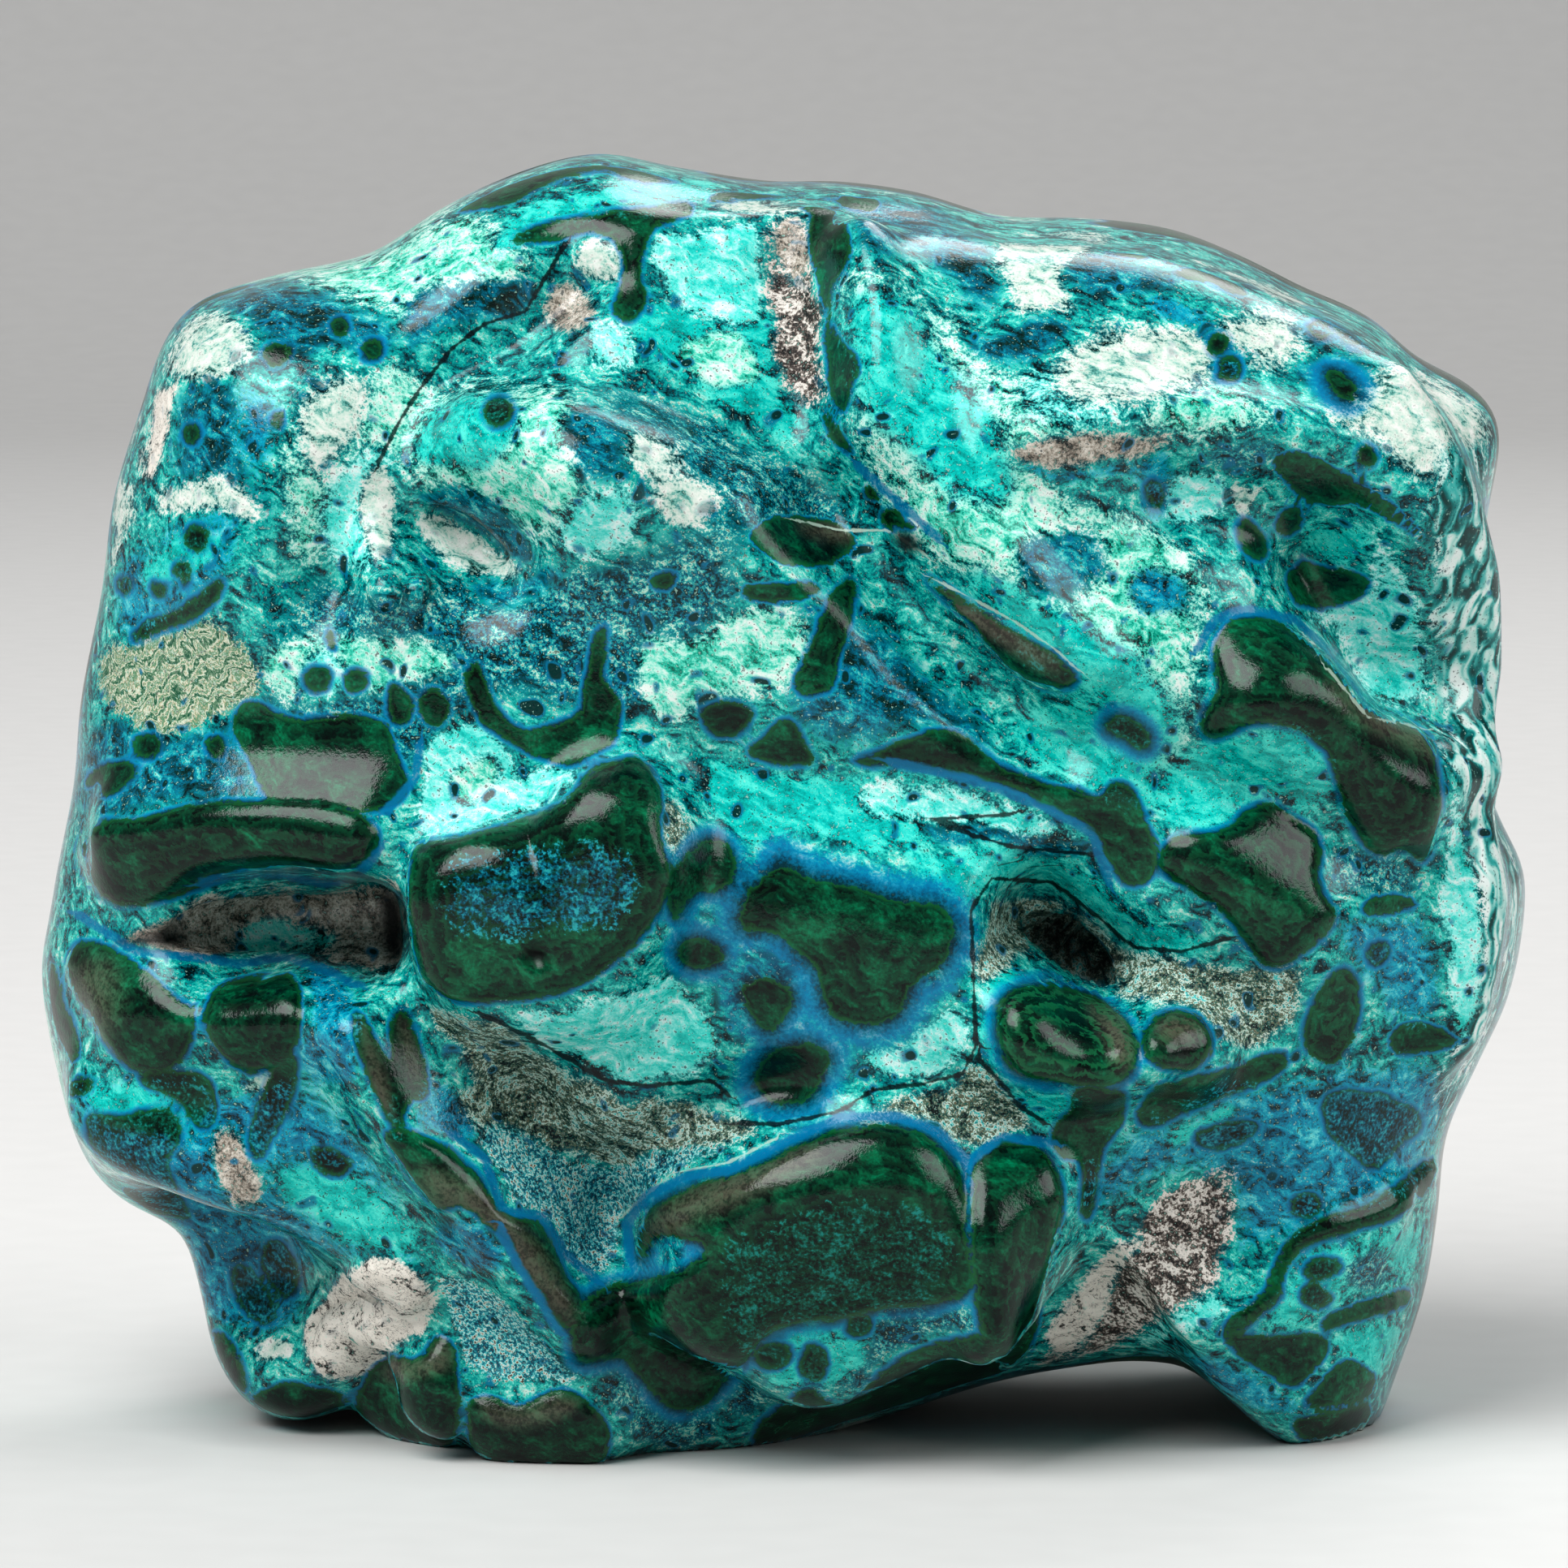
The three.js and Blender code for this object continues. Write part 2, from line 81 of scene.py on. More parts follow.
# Ridges and hollows as (name, face, rise, reach, edge, line of X and Z points).
RELIEF = [
    ("crown vein", "front", 1.4, 3.2, 2, [(-22, 101.5), (-7, 103.5), (2, 104), (5, 100)]),
    ("window", "front", -2.2, 6.5, 2, [(-5.8, 99), (-5.1, 94.5), (-1.8, 88.8)]),
    ("seam", "front", -2.4, 3.2, 2, [(1.3, 101.5), (2.3, 96), (3, 90), (5.3, 85.7), (9.7, 82)]),
    ("right mass", "front", 3.2, 13, 4, [(17, 94), (31, 92), (42, 88)]),
    ("right mass edge", "front", 3.4, 3.4, 2, [(6, 101), (7, 94), (7, 88), (12, 82.5), (18, 76.5), (25, 68)]),
    ("under the lip", "front", -4.6, 3.8, 2, [(2.3, 80.7), (8.4, 76), (13, 70), (18, 65.5), (24, 62.5)]),
    ("lower right dome", "front", 2.2, 9, 2, [(22, 82), (29, 76), (31, 68)]),
    ("arc ridge", "front", 3, 3, 2, [(20, 86), (29, 87), (36, 86.5), (45, 84.5), (51, 78.5), (54, 71)]),
    ("arc hollow", "front", -3.8, 4, 2, [(32, 81.5), (40, 80), (45, 79)]),
    ("right hollow", "front", -6, 5, 2, [(46, 76), (49.5, 71), (51.5, 66)]),
    ("right ridge", "front", 3.6, 3.8, 2, [(50, 88), (54.5, 82), (57.5, 74), (58, 66), (57, 59)]),
    ("right band", "front", 2.8, 4, 2, [(57, 55), (58.5, 49), (58, 42), (56.5, 36)]),
    ("right green lobe", "front", 4.8, 6, 4, [(41, 64), (47, 62), (51.5, 58)]),
    ("cyan bay", "front", -2.2, 4, 2, [(33, 59), (38, 58.5)]),
    ("lower green lobe", "front", 2.4, 6, 2, [(35, 52), (40, 48), (43, 45)]),
    ("left lobe", "front", 3, 9, 2, [(-44, 91), (-44, 86), (-43.5, 77)]),
    ("left valley", "front", -4.8, 3.8, 2, [
        (-18, 101), (-22, 97), (-28.7, 91.5), (-32, 86.5), (-36, 81), (-38, 75),
    ]),
    ("mint lobe", "front", 3.8, 7, 2, [(-26, 87.5), (-21, 86), (-16.5, 83)]),
    ("pocket", "front", -6.2, 4.6, 2, [(-29, 80), (-24.5, 77.8)]),
    ("pillar", "front", 2.6, 3.2, 2, [(-34, 84), (-34.5, 79), (-33, 74.5)]),
    ("centre lobe", "front", 3.6, 7, 2, [(-16, 85), (-9, 83.5), (-1, 80.5)]),
    ("arc crease", "front", -2.4, 3, 2, [(-22, 91.5), (-14.5, 92), (-8, 89.5), (-1, 86), (4.5, 82.5)]),
    ("terrace", "front", -2.6, 4.4, 2, [(-5.8, 60), (2.3, 58), (11, 57), (20.5, 54.5), (27.9, 51)]),
    ("cluster", "front", 2.2, 12, 2, [(3, 48), (9, 44), (4, 37)]),
    ("block", "front", 6.8, 7.2, 6, [(-23.5, 48.5), (-22.5, 44.5), (-17.5, 44.5), (-15, 48.5), (-13.6, 53)]),
    ("slot", "front", -11, 4.4, 4, [(-46, 45.2), (-41, 46.4), (-36, 45.8)]),
    ("slot brow", "front", 3.8, 5, 2, [(-54, 53.5), (-47, 54.5), (-40, 54.5), (-35, 54)]),
    ("slot sill", "front", 2.6, 4.6, 2, [(-54, 37.5), (-48, 38), (-42, 38)]),
    ("pit", "front", -10.5, 4.5, 3, [(22, 46.4), (26.5, 42.4)]),
    ("pit ledge", "front", -1.6, 4, 2, [(32, 42.4), (38, 41)]),
    ("banded knob", "front", 5, 5.4, 4, [(21.8, 37.6), (25.5, 36.6)]),
    ("banded knob, small", "front", 4.2, 4, 3, [(32, 36.5), (34, 36)]),
    ("botryoid", "front", 7, 8.5, 4, [(-4, 18), (1, 22.5), (8.4, 23), (10.4, 17.5), (2.3, 13.5)]),
    ("botryoid, side", "front", 5, 5.4, 4, [(19.8, 22.5), (19, 16.5)]),
    ("channel", "front", -3.4, 3.6, 2, [(-13.6, 19), (-12.6, 24.5), (-7.4, 29.5), (-0.4, 32.5)]),
    ("vee hollow", "front", -5.8, 4.6, 2, [(-22, 30.5), (-18.4, 25.5), (-15.4, 19.4)]),
    ("brown ridge", "front", 5.6, 4, 2, [
        (-34.8, 38), (-32.5, 33), (-28.7, 27.8), (-24, 22.8), (-20.6, 18), (-16.6, 13.5),
    ]),
    ("set-back toe", "front", -8, 8, 3, [(-48.2, 14), (-43, 10.5), (-38.5, 8)]),
    ("overhang", "front", 3.4, 5, 2, [(-57, 29), (-51.5, 26.5), (-45, 24)]),
    ("green toe", "front", 5.2, 4.6, 3, [(-30.5, 7)]),
    ("green toe, wide", "front", 3.6, 5.4, 3, [(-22, 4), (-16.6, 4)]),
    ("toe channel", "front", -3, 3.2, 2, [(-13.4, 12), (-9.8, 8.5), (-4.4, 6)]),
    ("matrix flat", "front", -2.8, 7, 3, [(26, 15), (31, 19), (36, 22)]),
    ("foot ridge", "front", 1.8, 3.4, 2, [(35, 12), (42.7, 14.5), (51, 20)]),
    ("foot", "front", 1.2, 5.5, 2, [(46, 5), (49, 7)]),
    ("arch, front", "front", -3, 7.5, 4, [(27, 0), (35, 0)]),
    ("arch, back", "back", -4, 8, 4, [(25, 0), (34, 0)]),
    ("back shoulder", "back", 4, 15, 3, [(-34, 82), (-18, 88)]),
    ("back saddle", "back", -5.5, 10, 2, [(-50, 66), (-28, 62), (-6, 70), (8, 84)]),
    ("back belly", "back", 5, 16, 3, [(-24, 34), (0, 38)]),
    ("back ridge", "back", 3.6, 6, 2, [(18, 92), (26, 76), (22, 60), (34, 44), (30, 26)]),
    ("back hollow", "back", -6, 8, 2, [(42, 74), (46, 58)]),
    ("back pocket", "back", -5.5, 5, 3, [(2, 58), (9, 54)]),
    ("back knob", "back", 3.4, 5.5, 4, [(-42, 44)]),
    ("back knob, low", "back", 3, 7, 3, [(14, 20), (20, 14)]),
    ("back groove", "back", -3, 4, 2, [(-52, 30), (-36, 20), (-14, 18), (6, 10)]),
]

# ---------------------------------------------------------------- the show face's map
# Places on the show face are given on a flat map of it, X to the right and Y down, in steps of MAP_STEP.
MAP_STEP = 0.07
MAP_MIDDLE = 966.0
MAP_HEIGHT = 55.0
VIEW_DISTANCE = 900.0
VIEW_TILT = math.radians(6.0)

# Malachite: (halo width in mm, strength of its growth bands, outline on the map).
MALACHITE = {
    "left flank": (0.7, 0.2, [
        (100, 1372), (150, 1380), (190, 1366), (222, 1380), (226, 1410), (204, 1432), (226, 1478),
        (246, 1514), (180, 1486), (126, 1438),
    ]),
    "left flank, upper": (0.5, 0.1, [
        (178, 1318), (262, 1322), (272, 1372), (256, 1400), (232, 1372), (210, 1350), (176, 1340),
    ]),
    "left flank, lens": (0.5, 0.2, [
        (283, 1555), (310, 1562), (345, 1610), (341, 1636), (312, 1630), (290, 1600),
    ]),
    "left flank, chip": (0.5, 0.1, [
        (328, 1528), (352, 1530), (375, 1570), (366, 1604), (342, 1600), (322, 1560),
    ]),
    "neck": (0.6, 0.1, [
        (352, 1290), (372, 1310), (362, 1360), (340, 1396), (322, 1440), (306, 1410), (320, 1360),
    ]),
    "right mottle": (0.6, 0.1, [
        (1628, 1352), (1676, 1344), (1740, 1362), (1762, 1386), (1724, 1420), (1692, 1450), (1672, 1424),
        (1640, 1404),
    ]),
    "right link": (0.6, 0.1, [
        (1324, 1342), (1368, 1336), (1378, 1372), (1362, 1420), (1350, 1512), (1334, 1498), (1340, 1436),
        (1318, 1404),
    ]),
    "right link, low": (0.5, 0.1, [(1470, 1400), (1520, 1380), (1560, 1384), (1540, 1410), (1490, 1424)]),
    "right fleck": (0.5, 0.0, [(1590, 1480), (1620, 1470), (1640, 1486), (1620, 1506), (1596, 1500)]),
    "right fleck, low": (0.5, 0.0, [(1606, 1560), (1640, 1548), (1660, 1562), (1636, 1582), (1610, 1578)]),
    "cap": (0.43, 0.2, [
        (560, 262), (600, 258), (640, 248), (690, 222), (720, 212), (755, 210), (775, 223), (858, 224),
        (850, 195), (800, 170), (700, 165), (600, 205), (550, 245),
    ]),
    "crown vein": (0.5, 0.3, [
        (628, 298), (650, 284), (700, 269), (760, 261), (820, 255), (850, 247), (856, 262), (835, 272),
        (806, 282), (799, 300), (793, 322), (790, 346), (801, 362), (800, 380), (785, 395), (770, 395),
        (756, 380), (766, 360), (771, 330), (766, 302), (750, 290), (720, 285), (690, 297), (660, 300),
    ]),
    "crown": (0.31, 0.2, [
        (868, 248), (900, 236), (950, 232), (1000, 237), (1030, 244), (1045, 275), (1051, 310), (1044, 332),
        (1030, 346), (1026, 370), (1024, 396), (1017, 380), (1015, 350), (1003, 320), (1000, 290),
        (1004, 262), (985, 250), (940, 245), (900, 248),
    ]),
    "seam lens": (0.37, 0.2, [
        (1021, 396), (1030, 400), (1040, 425), (1062, 440), (1064, 460), (1051, 475), (1050, 500),
        (1040, 512), (1030, 495), (1024, 470), (1022, 440), (1018, 415),
    ]),
    "seam tail": (0.31, 0.0, [(1016, 505), (1028, 512), (1042, 540), (1058, 562), (1040, 558), (1024, 535)]),
    "crown right": (0.37, 0.1, [(1030, 236), (1060, 240), (1090, 244), (1080, 262), (1040, 258)]),
    "far edge": (0.37, 0.1, [
        (1160, 262), (1200, 268), (1250, 276), (1330, 279), (1400, 284), (1450, 292), (1480, 312),
        (1440, 300), (1380, 292), (1300, 290), (1230, 288), (1175, 278),
    ]),
    "edge lens": (0.37, 0.1, [(1352, 306), (1375, 297), (1402, 300), (1428, 316), (1400, 319), (1370, 314)]),
    "edge lens, long": (0.31, 0.2, [
        (1448, 333), (1480, 330), (1512, 343), (1542, 359), (1530, 369), (1500, 351), (1475, 345),
        (1455, 341),
    ]),
    "corner": (0.62, 0.1, [
        (1645, 395), (1660, 385), (1690, 398), (1702, 412), (1685, 425), (1665, 426), (1653, 410),
    ]),
    "corner eye": (2.0, 0.2, [(1635, 462), (1650, 454), (1665, 464), (1680, 485), (1668, 497), (1648, 485)]),
    "arc": (0.31, 0.2, [
        (1566, 562), (1600, 556), (1640, 574), (1680, 594), (1718, 620), (1745, 642), (1764, 672),
        (1742, 658), (1700, 632), (1668, 616), (1640, 626), (1606, 612), (1585, 590),
    ]),
    "crescent": (0.62, 0.0, [(1414, 600), (1425, 590), (1438, 600), (1440, 618), (1430, 631), (1418, 620)]),
    "drop": (0.62, 0.0, [(1526, 646), (1545, 640), (1562, 664), (1566, 686), (1552, 694), (1534, 674)]),
    "bead": (0.43, 0.0, [(1574, 655), (1588, 626), (1608, 628), (1607, 650), (1594, 664)]),
    "bean": (0.5, 0.3, [
        (1592, 706), (1610, 692), (1630, 700), (1660, 705), (1691, 712), (1690, 730), (1650, 746),
        (1620, 751), (1599, 742), (1590, 722),
    ]),
    "hook": (0.68, 0.3, [
        (1497, 802), (1505, 781), (1525, 765), (1555, 762), (1595, 776), (1630, 803), (1660, 838),
        (1680, 870), (1715, 882), (1750, 896), (1773, 925), (1781, 975), (1776, 1030), (1760, 1070),
        (1735, 1042), (1702, 1062), (1680, 1032), (1660, 1002), (1650, 962), (1640, 925), (1610, 900),
        (1565, 892), (1528, 897), (1500, 916), (1481, 903), (1484, 882), (1508, 852), (1499, 828),
    ]),
    "pip": (1.5, 0.0, [
        (1364, 895), (1380, 882), (1402, 890), (1421, 905), (1423, 921), (1408, 929), (1385, 912),
        (1368, 905),
    ]),
    "saddle": (0.62, 0.4, [
        (1430, 1060), (1440, 1036), (1480, 1028), (1520, 1022), (1540, 1000), (1560, 989), (1585, 998),
        (1605, 1015), (1628, 1030), (1632, 1060), (1625, 1082), (1640, 1112), (1652, 1130), (1640, 1152),
        (1610, 1176), (1585, 1193), (1560, 1192), (1545, 1170), (1520, 1132), (1490, 1110), (1460, 1090),
        (1435, 1078),
    ]),
    "shield": (0.56, 0.1, [
        (862, 873), (895, 866), (933, 872), (926, 895), (905, 912), (888, 910), (872, 895),
    ]),
    "fin": (0.56, 0.1, [
        (922, 926), (950, 905), (970, 884), (985, 893), (995, 920), (1012, 946), (960, 943), (930, 936),
    ]),
    "vein": (0.56, 0.2, [
        (1045, 936), (1090, 927), (1130, 910), (1160, 900), (1192, 908), (1215, 930), (1250, 950),
        (1290, 965), (1330, 975), (1358, 985), (1374, 964), (1396, 970), (1412, 1000), (1427, 1040),
        (1427, 1075), (1405, 1096), (1385, 1086), (1368, 1060), (1358, 1030), (1330, 1010), (1290, 990),
        (1240, 970), (1190, 955), (1140, 946), (1080, 946),
    ]),
    "splinter": (0.37, 0.0, [
        (914, 729), (930, 720), (980, 721), (1012, 720), (1012, 735), (960, 745), (930, 743),
    ]),
    "blade": (0.56, 0.3, [
        (1034, 727), (1048, 711), (1058, 720), (1055, 750), (1045, 790), (1035, 825), (1030, 846),
        (1015, 859), (990, 857), (982, 845), (990, 820), (1005, 790), (1015, 760), (1022, 742),
    ]),
    "seed": (0.43, 0.0, [(802, 718), (815, 708), (838, 705), (830, 726), (815, 731)]),
    "lip": (0.56, 0.1, [
        (1140, 712), (1160, 716), (1200, 745), (1250, 775), (1300, 808), (1336, 836), (1325, 850),
        (1300, 852), (1260, 836), (1225, 801), (1200, 770), (1170, 740),
    ]),
    "under the seam": (0.3, 0.0, [
        (924, 662), (945, 641), (990, 637), (1040, 645), (1060, 665), (1045, 686), (1015, 701), (975, 696),
        (945, 681),
    ]),
    "chip": (0.31, 0.0, [(1066, 604), (1078, 598), (1092, 614), (1082, 620), (1070, 616)]),
    "chip, low": (0.31, 0.0, [(1088, 640), (1105, 634), (1132, 652), (1115, 652), (1092, 648)]),
    "leaf": (0.62, 0.2, [
        (163, 791), (175, 770), (205, 760), (225, 750), (250, 730), (270, 713), (280, 719), (270, 741),
        (240, 763), (205, 776), (180, 790),
    ]),
    "left dot a": (0.74, 0.0, [(236, 676), (240, 660), (250, 656), (255, 668), (246, 680)]),
    "left dot b": (0.62, 0.0, [(226, 722), (226, 700), (234, 694), (236, 712), (232, 725)]),
    "left dot c": (0.62, 0.0, [(187, 726), (192, 716), (203, 722), (200, 732)]),
    "left dot d": (0.5, 0.0, [(333, 448), (340, 432), (360, 424), (364, 436), (350, 452), (340, 455)]),
    "left dot e": (0.5, 0.0, [(332, 520), (345, 504), (351, 516), (350, 532), (338, 528)]),
    "left dot f": (0.5, 0.0, [(402, 790), (408, 778), (416, 790), (414, 802)]),
    "upper left mass": (0.56, 0.2, [
        (308, 868), (330, 868), (348, 884), (380, 892), (400, 882), (455, 884), (480, 895), (490, 930),
        (507, 960), (500, 985), (480, 997), (450, 1002), (420, 1000), (380, 1010), (340, 1002), (320, 960),
        (305, 925), (288, 900), (292, 885),
    ]),
    "twin, left": (0.56, 0.2, [(482, 842), (500, 848), (512, 870), (505, 890), (490, 896), (478, 880)]),
    "twin, right": (0.56, 0.2, [(518, 857), (540, 848), (557, 865), (556, 885), (540, 899), (520, 885)]),
    "left oval": (0.62, 0.1, [
        (104, 962), (130, 943), (162, 940), (172, 955), (155, 976), (130, 986), (110, 976),
    ]),
    "left oval b": (0.5, 0.1, [(174, 917), (190, 904), (201, 922), (196, 938), (180, 934)]),
    "left oval c": (0.5, 0.0, [(254, 912), (275, 904), (282, 934), (262, 938)]),
    "brow": (0.56, 0.3, [
        (96, 1045), (120, 1012), (180, 1012), (250, 990), (330, 988), (400, 990), (450, 1005), (472, 1030),
        (455, 1062), (430, 1082), (400, 1086), (370, 1074), (300, 1076), (250, 1095), (200, 1111),
        (150, 1122), (118, 1100), (104, 1070),
    ]),
    "left lens": (0.56, 0.2, [
        (80, 1192), (100, 1158), (150, 1175), (182, 1200), (215, 1230), (246, 1250), (240, 1290), (215, 1322),
        (180, 1326), (150, 1310), (120, 1266), (95, 1232),
    ]),
    "left lens, inner": (0.43, 0.2, [
        (252, 1246), (272, 1214), (310, 1204), (367, 1200), (376, 1240), (366, 1290), (350, 1316),
        (310, 1326), (280, 1311), (262, 1285),
    ]),
    "left rim": (0.43, 0.0, [
        (40, 1180), (58, 1162), (72, 1200), (85, 1250), (101, 1290), (96, 1312), (70, 1302), (48, 1250),
    ]),
    "ring": (0.56, 0.2, [
        (576, 830), (590, 813), (600, 834), (606, 860), (622, 884), (650, 903), (680, 894), (714, 884),
        (722, 860), (727, 820), (735, 790), (750, 766), (750, 800), (746, 842), (766, 855), (767, 890),
        (755, 921), (735, 931), (710, 946), (680, 936), (650, 926), (620, 906), (590, 890), (579, 860),
    ]),
    "block": (0.5, 0.3, [
        (506, 1056), (520, 1040), (560, 1036), (620, 1020), (665, 1005), (700, 990), (728, 955), (760, 938),
        (790, 934), (808, 955), (820, 985), (812, 1030), (832, 1070), (824, 1110), (805, 1142), (780, 1170),
        (745, 1200), (700, 1226), (640, 1236), (580, 1239), (540, 1228), (518, 1200), (508, 1150),
    ]),
    "cluster a": (1.6, 0.1, [
        (822, 1082), (852, 1060), (862, 1041), (880, 1031), (901, 1040), (911, 1065), (906, 1090),
        (885, 1103), (855, 1104), (842, 1132), (828, 1136),
    ]),
    "cluster b": (1.8, 0.1, [(836, 1166), (865, 1154), (897, 1170), (891, 1191), (860, 1197), (840, 1187)]),
    "cluster c": (2.2, 0.1, [
        (916, 1215), (945, 1203), (976, 1215), (984, 1235), (966, 1260), (950, 1278), (930, 1260),
        (917, 1236),
    ]),
    "cluster d": (2.4, 0.1, [
        (931, 1330), (945, 1304), (965, 1289), (1000, 1287), (1032, 1305), (1021, 1325), (1010, 1351),
        (985, 1366), (950, 1361), (936, 1346),
    ]),
    "cluster heart": (2.9, 0.2, [
        (910, 1130), (925, 1100), (950, 1075), (965, 1062), (985, 1074), (1005, 1087), (1045, 1089),
        (1090, 1104), (1130, 1114), (1162, 1117), (1180, 1140), (1176, 1170), (1160, 1196), (1130, 1211),
        (1120, 1240), (1100, 1263), (1060, 1265), (1030, 1256), (1016, 1230), (1014, 1200), (990, 1180),
        (965, 1151), (940, 1151), (918, 1151),
    ]),
    "banded knob": (1.4, 1.0, [
        (1234, 1290), (1231, 1250), (1245, 1224), (1270, 1214), (1310, 1214), (1345, 1224), (1375, 1244),
        (1401, 1275), (1406, 1310), (1385, 1336), (1340, 1341), (1300, 1333), (1265, 1329), (1244, 1311),
    ]),
    "small knob": (0.5, 0.6, [
        (1409, 1276), (1430, 1249), (1460, 1244), (1490, 1259), (1499, 1290), (1490, 1311), (1465, 1326),
        (1430, 1316), (1411, 1300),
    ]),
    "under the knobs": (0.5, 0.2, [
        (1404, 1370), (1430, 1340), (1470, 1330), (1520, 1320), (1570, 1298), (1592, 1298), (1582, 1326),
        (1540, 1346), (1490, 1361), (1440, 1386), (1408, 1391),
    ]),
    "knob root": (0.5, 0.2, [
        (1298, 1395), (1330, 1360), (1370, 1345), (1396, 1350), (1386, 1390), (1360, 1421), (1320, 1431),
        (1300, 1416),
    ]),
    "right oval": (0.68, 0.5, [
        (1610, 1292), (1613, 1260), (1630, 1224), (1655, 1193), (1677, 1205), (1680, 1240), (1673, 1271),
        (1661, 1301), (1645, 1316), (1624, 1306),
    ]),
    "right worm": (0.37, 0.0, [
        (1678, 1126), (1694, 1107), (1730, 1104), (1757, 1120), (1735, 1123), (1700, 1131),
    ]),
    "right bean": (0.43, 0.1, [
        (1712, 1285), (1724, 1264), (1760, 1261), (1794, 1275), (1801, 1290), (1760, 1299), (1725, 1303),
    ]),
    "botryoid": (1.5, 0.2, [
        (787, 1520), (800, 1494), (850, 1464), (920, 1449), (1000, 1404), (1060, 1389), (1130, 1391),
        (1170, 1420), (1191, 1460), (1196, 1530), (1202, 1590), (1180, 1603), (1150, 1612), (1100, 1612),
        (1060, 1626), (1000, 1631), (950, 1641), (930, 1671), (900, 1701), (870, 1736), (830, 1741),
        (800, 1711), (768, 1670), (740, 1684), (712, 1681), (704, 1650), (720, 1600), (760, 1584),
        (800, 1580), (855, 1562), (876, 1545), (860, 1530), (815, 1524), (802, 1545), (789, 1560),
    ]),
    "botryoid, side": (0.56, 0.2, [
        (1200, 1440), (1215, 1414), (1250, 1407), (1290, 1417), (1309, 1445), (1313, 1490), (1301, 1540),
        (1286, 1600), (1281, 1650), (1261, 1681), (1240, 1691), (1215, 1650), (1203, 1600), (1203, 1520),
    ]),
    "blade tips": (0.5, 0.1, [
        (436, 1246), (450, 1249), (470, 1290), (486, 1318), (484, 1252), (500, 1244), (512, 1260),
        (522, 1300), (530, 1330), (527, 1362), (512, 1352), (500, 1372), (496, 1402), (478, 1382),
        (461, 1341), (444, 1301),
    ]),
    "brown ridge": (0.56, 0.1, [
        (470, 1396), (500, 1394), (540, 1409), (570, 1429), (595, 1450), (611, 1480), (622, 1501),
        (650, 1502), (672, 1514), (691, 1550), (702, 1580), (722, 1600), (722, 1662), (704, 1650),
        (678, 1611), (648, 1571), (628, 1531), (598, 1506), (570, 1482), (548, 1497), (532, 1481),
        (508, 1451), (488, 1421),
    ]),
    "toe": (0.43, 0.1, [
        (444, 1716), (460, 1690), (485, 1671), (520, 1680), (545, 1644), (562, 1660), (566, 1700),
        (570, 1745), (562, 1790), (520, 1790), (470, 1770), (440, 1745),
    ]),
    "toe, wide": (0.43, 0.1, [
        (582, 1726), (600, 1721), (640, 1738), (670, 1724), (692, 1714), (722, 1724), (746, 1750),
        (757, 1775), (745, 1815), (680, 1825), (620, 1815), (585, 1800), (578, 1750),
    ]),
    "set-back toe": (0.5, 0.0, [
        (250, 1648), (275, 1644), (291, 1660), (301, 1690), (310, 1716), (290, 1725), (255, 1700),
    ]),
    "toe rim": (0.37, 0.0, [
        (306, 1731), (330, 1714), (360, 1704), (400, 1711), (428, 1722), (415, 1760), (360, 1770),
        (315, 1755),
    ]),
    "bottom band": (0.56, 0.2, [
        (930, 1760), (960, 1741), (985, 1719), (1005, 1711), (1021, 1730), (1040, 1738), (1066, 1720),
        (1081, 1700), (1110, 1680), (1150, 1660), (1190, 1650), (1232, 1650), (1255, 1681), (1250, 1715),
        (1180, 1740), (1100, 1765), (1000, 1790), (940, 1795),
    ]),
    "low seed a": (0.56, 0.0, [(930, 1670), (945, 1656), (972, 1658), (982, 1672), (965, 1689), (942, 1688)]),
    "low seed b": (0.56, 0.3, [
        (987, 1680), (996, 1662), (1012, 1659), (1026, 1672), (1022, 1698), (1008, 1708), (992, 1700),
    ]),
    "low seed c": (0.5, 0.0, [
        (1045, 1636), (1058, 1620), (1075, 1624), (1080, 1640), (1066, 1650), (1050, 1648),
    ]),
    "foot wedge": (0.43, 0.2, [
        (1502, 1641), (1560, 1650), (1600, 1645), (1642, 1650), (1642, 1670), (1622, 1690), (1601, 1716),
        (1578, 1700), (1540, 1680),
    ]),
    "foot lens": (0.37, 0.2, [
        (1604, 1736), (1640, 1700), (1665, 1674), (1692, 1690), (1702, 1710), (1680, 1731), (1640, 1736),
    ]),
    "foot rim": (0.37, 0.0, [
        (1590, 1748), (1640, 1743), (1682, 1735), (1706, 1715), (1722, 1688), (1745, 1688), (1730, 1740),
        (1690, 1775), (1610, 1780),
    ]),
    "green sash": (0.5, 0.3, [
        (1508, 1641), (1530, 1619), (1560, 1599), (1574, 1570), (1580, 1545), (1600, 1519), (1640, 1499),
        (1690, 1489), (1730, 1459), (1772, 1424), (1782, 1445), (1761, 1481), (1740, 1496), (1700, 1511),
        (1650, 1526), (1600, 1541), (1581, 1580), (1586, 1600), (1561, 1621), (1530, 1646),
    ]),
    "green sash, low": (0.43, 0.2, [
        (1638, 1626), (1680, 1609), (1742, 1589), (1748, 1610), (1700, 1623), (1660, 1636), (1630, 1641),
    ]),
    "foot dot": (0.43, 0.0, [
        (1604, 1592), (1620, 1583), (1640, 1590), (1646, 1606), (1625, 1616), (1608, 1606),
    ]),
    "low left a": (0.43, 0.0, [(380, 1420), (400, 1410), (425, 1420), (440, 1440), (425, 1452), (400, 1448)]),
    "low left b": (0.37, 0.0, [(84, 1340), (105, 1326), (120, 1335), (105, 1350), (88, 1352)]),
    "low left c": (0.37, 0.0, [(140, 1455), (170, 1460), (200, 1482), (215, 1500), (190, 1500), (150, 1480)]),
    "low left d": (0.43, 0.0, [(325, 1545), (345, 1560), (372, 1585), (355, 1598), (335, 1580)]),
}

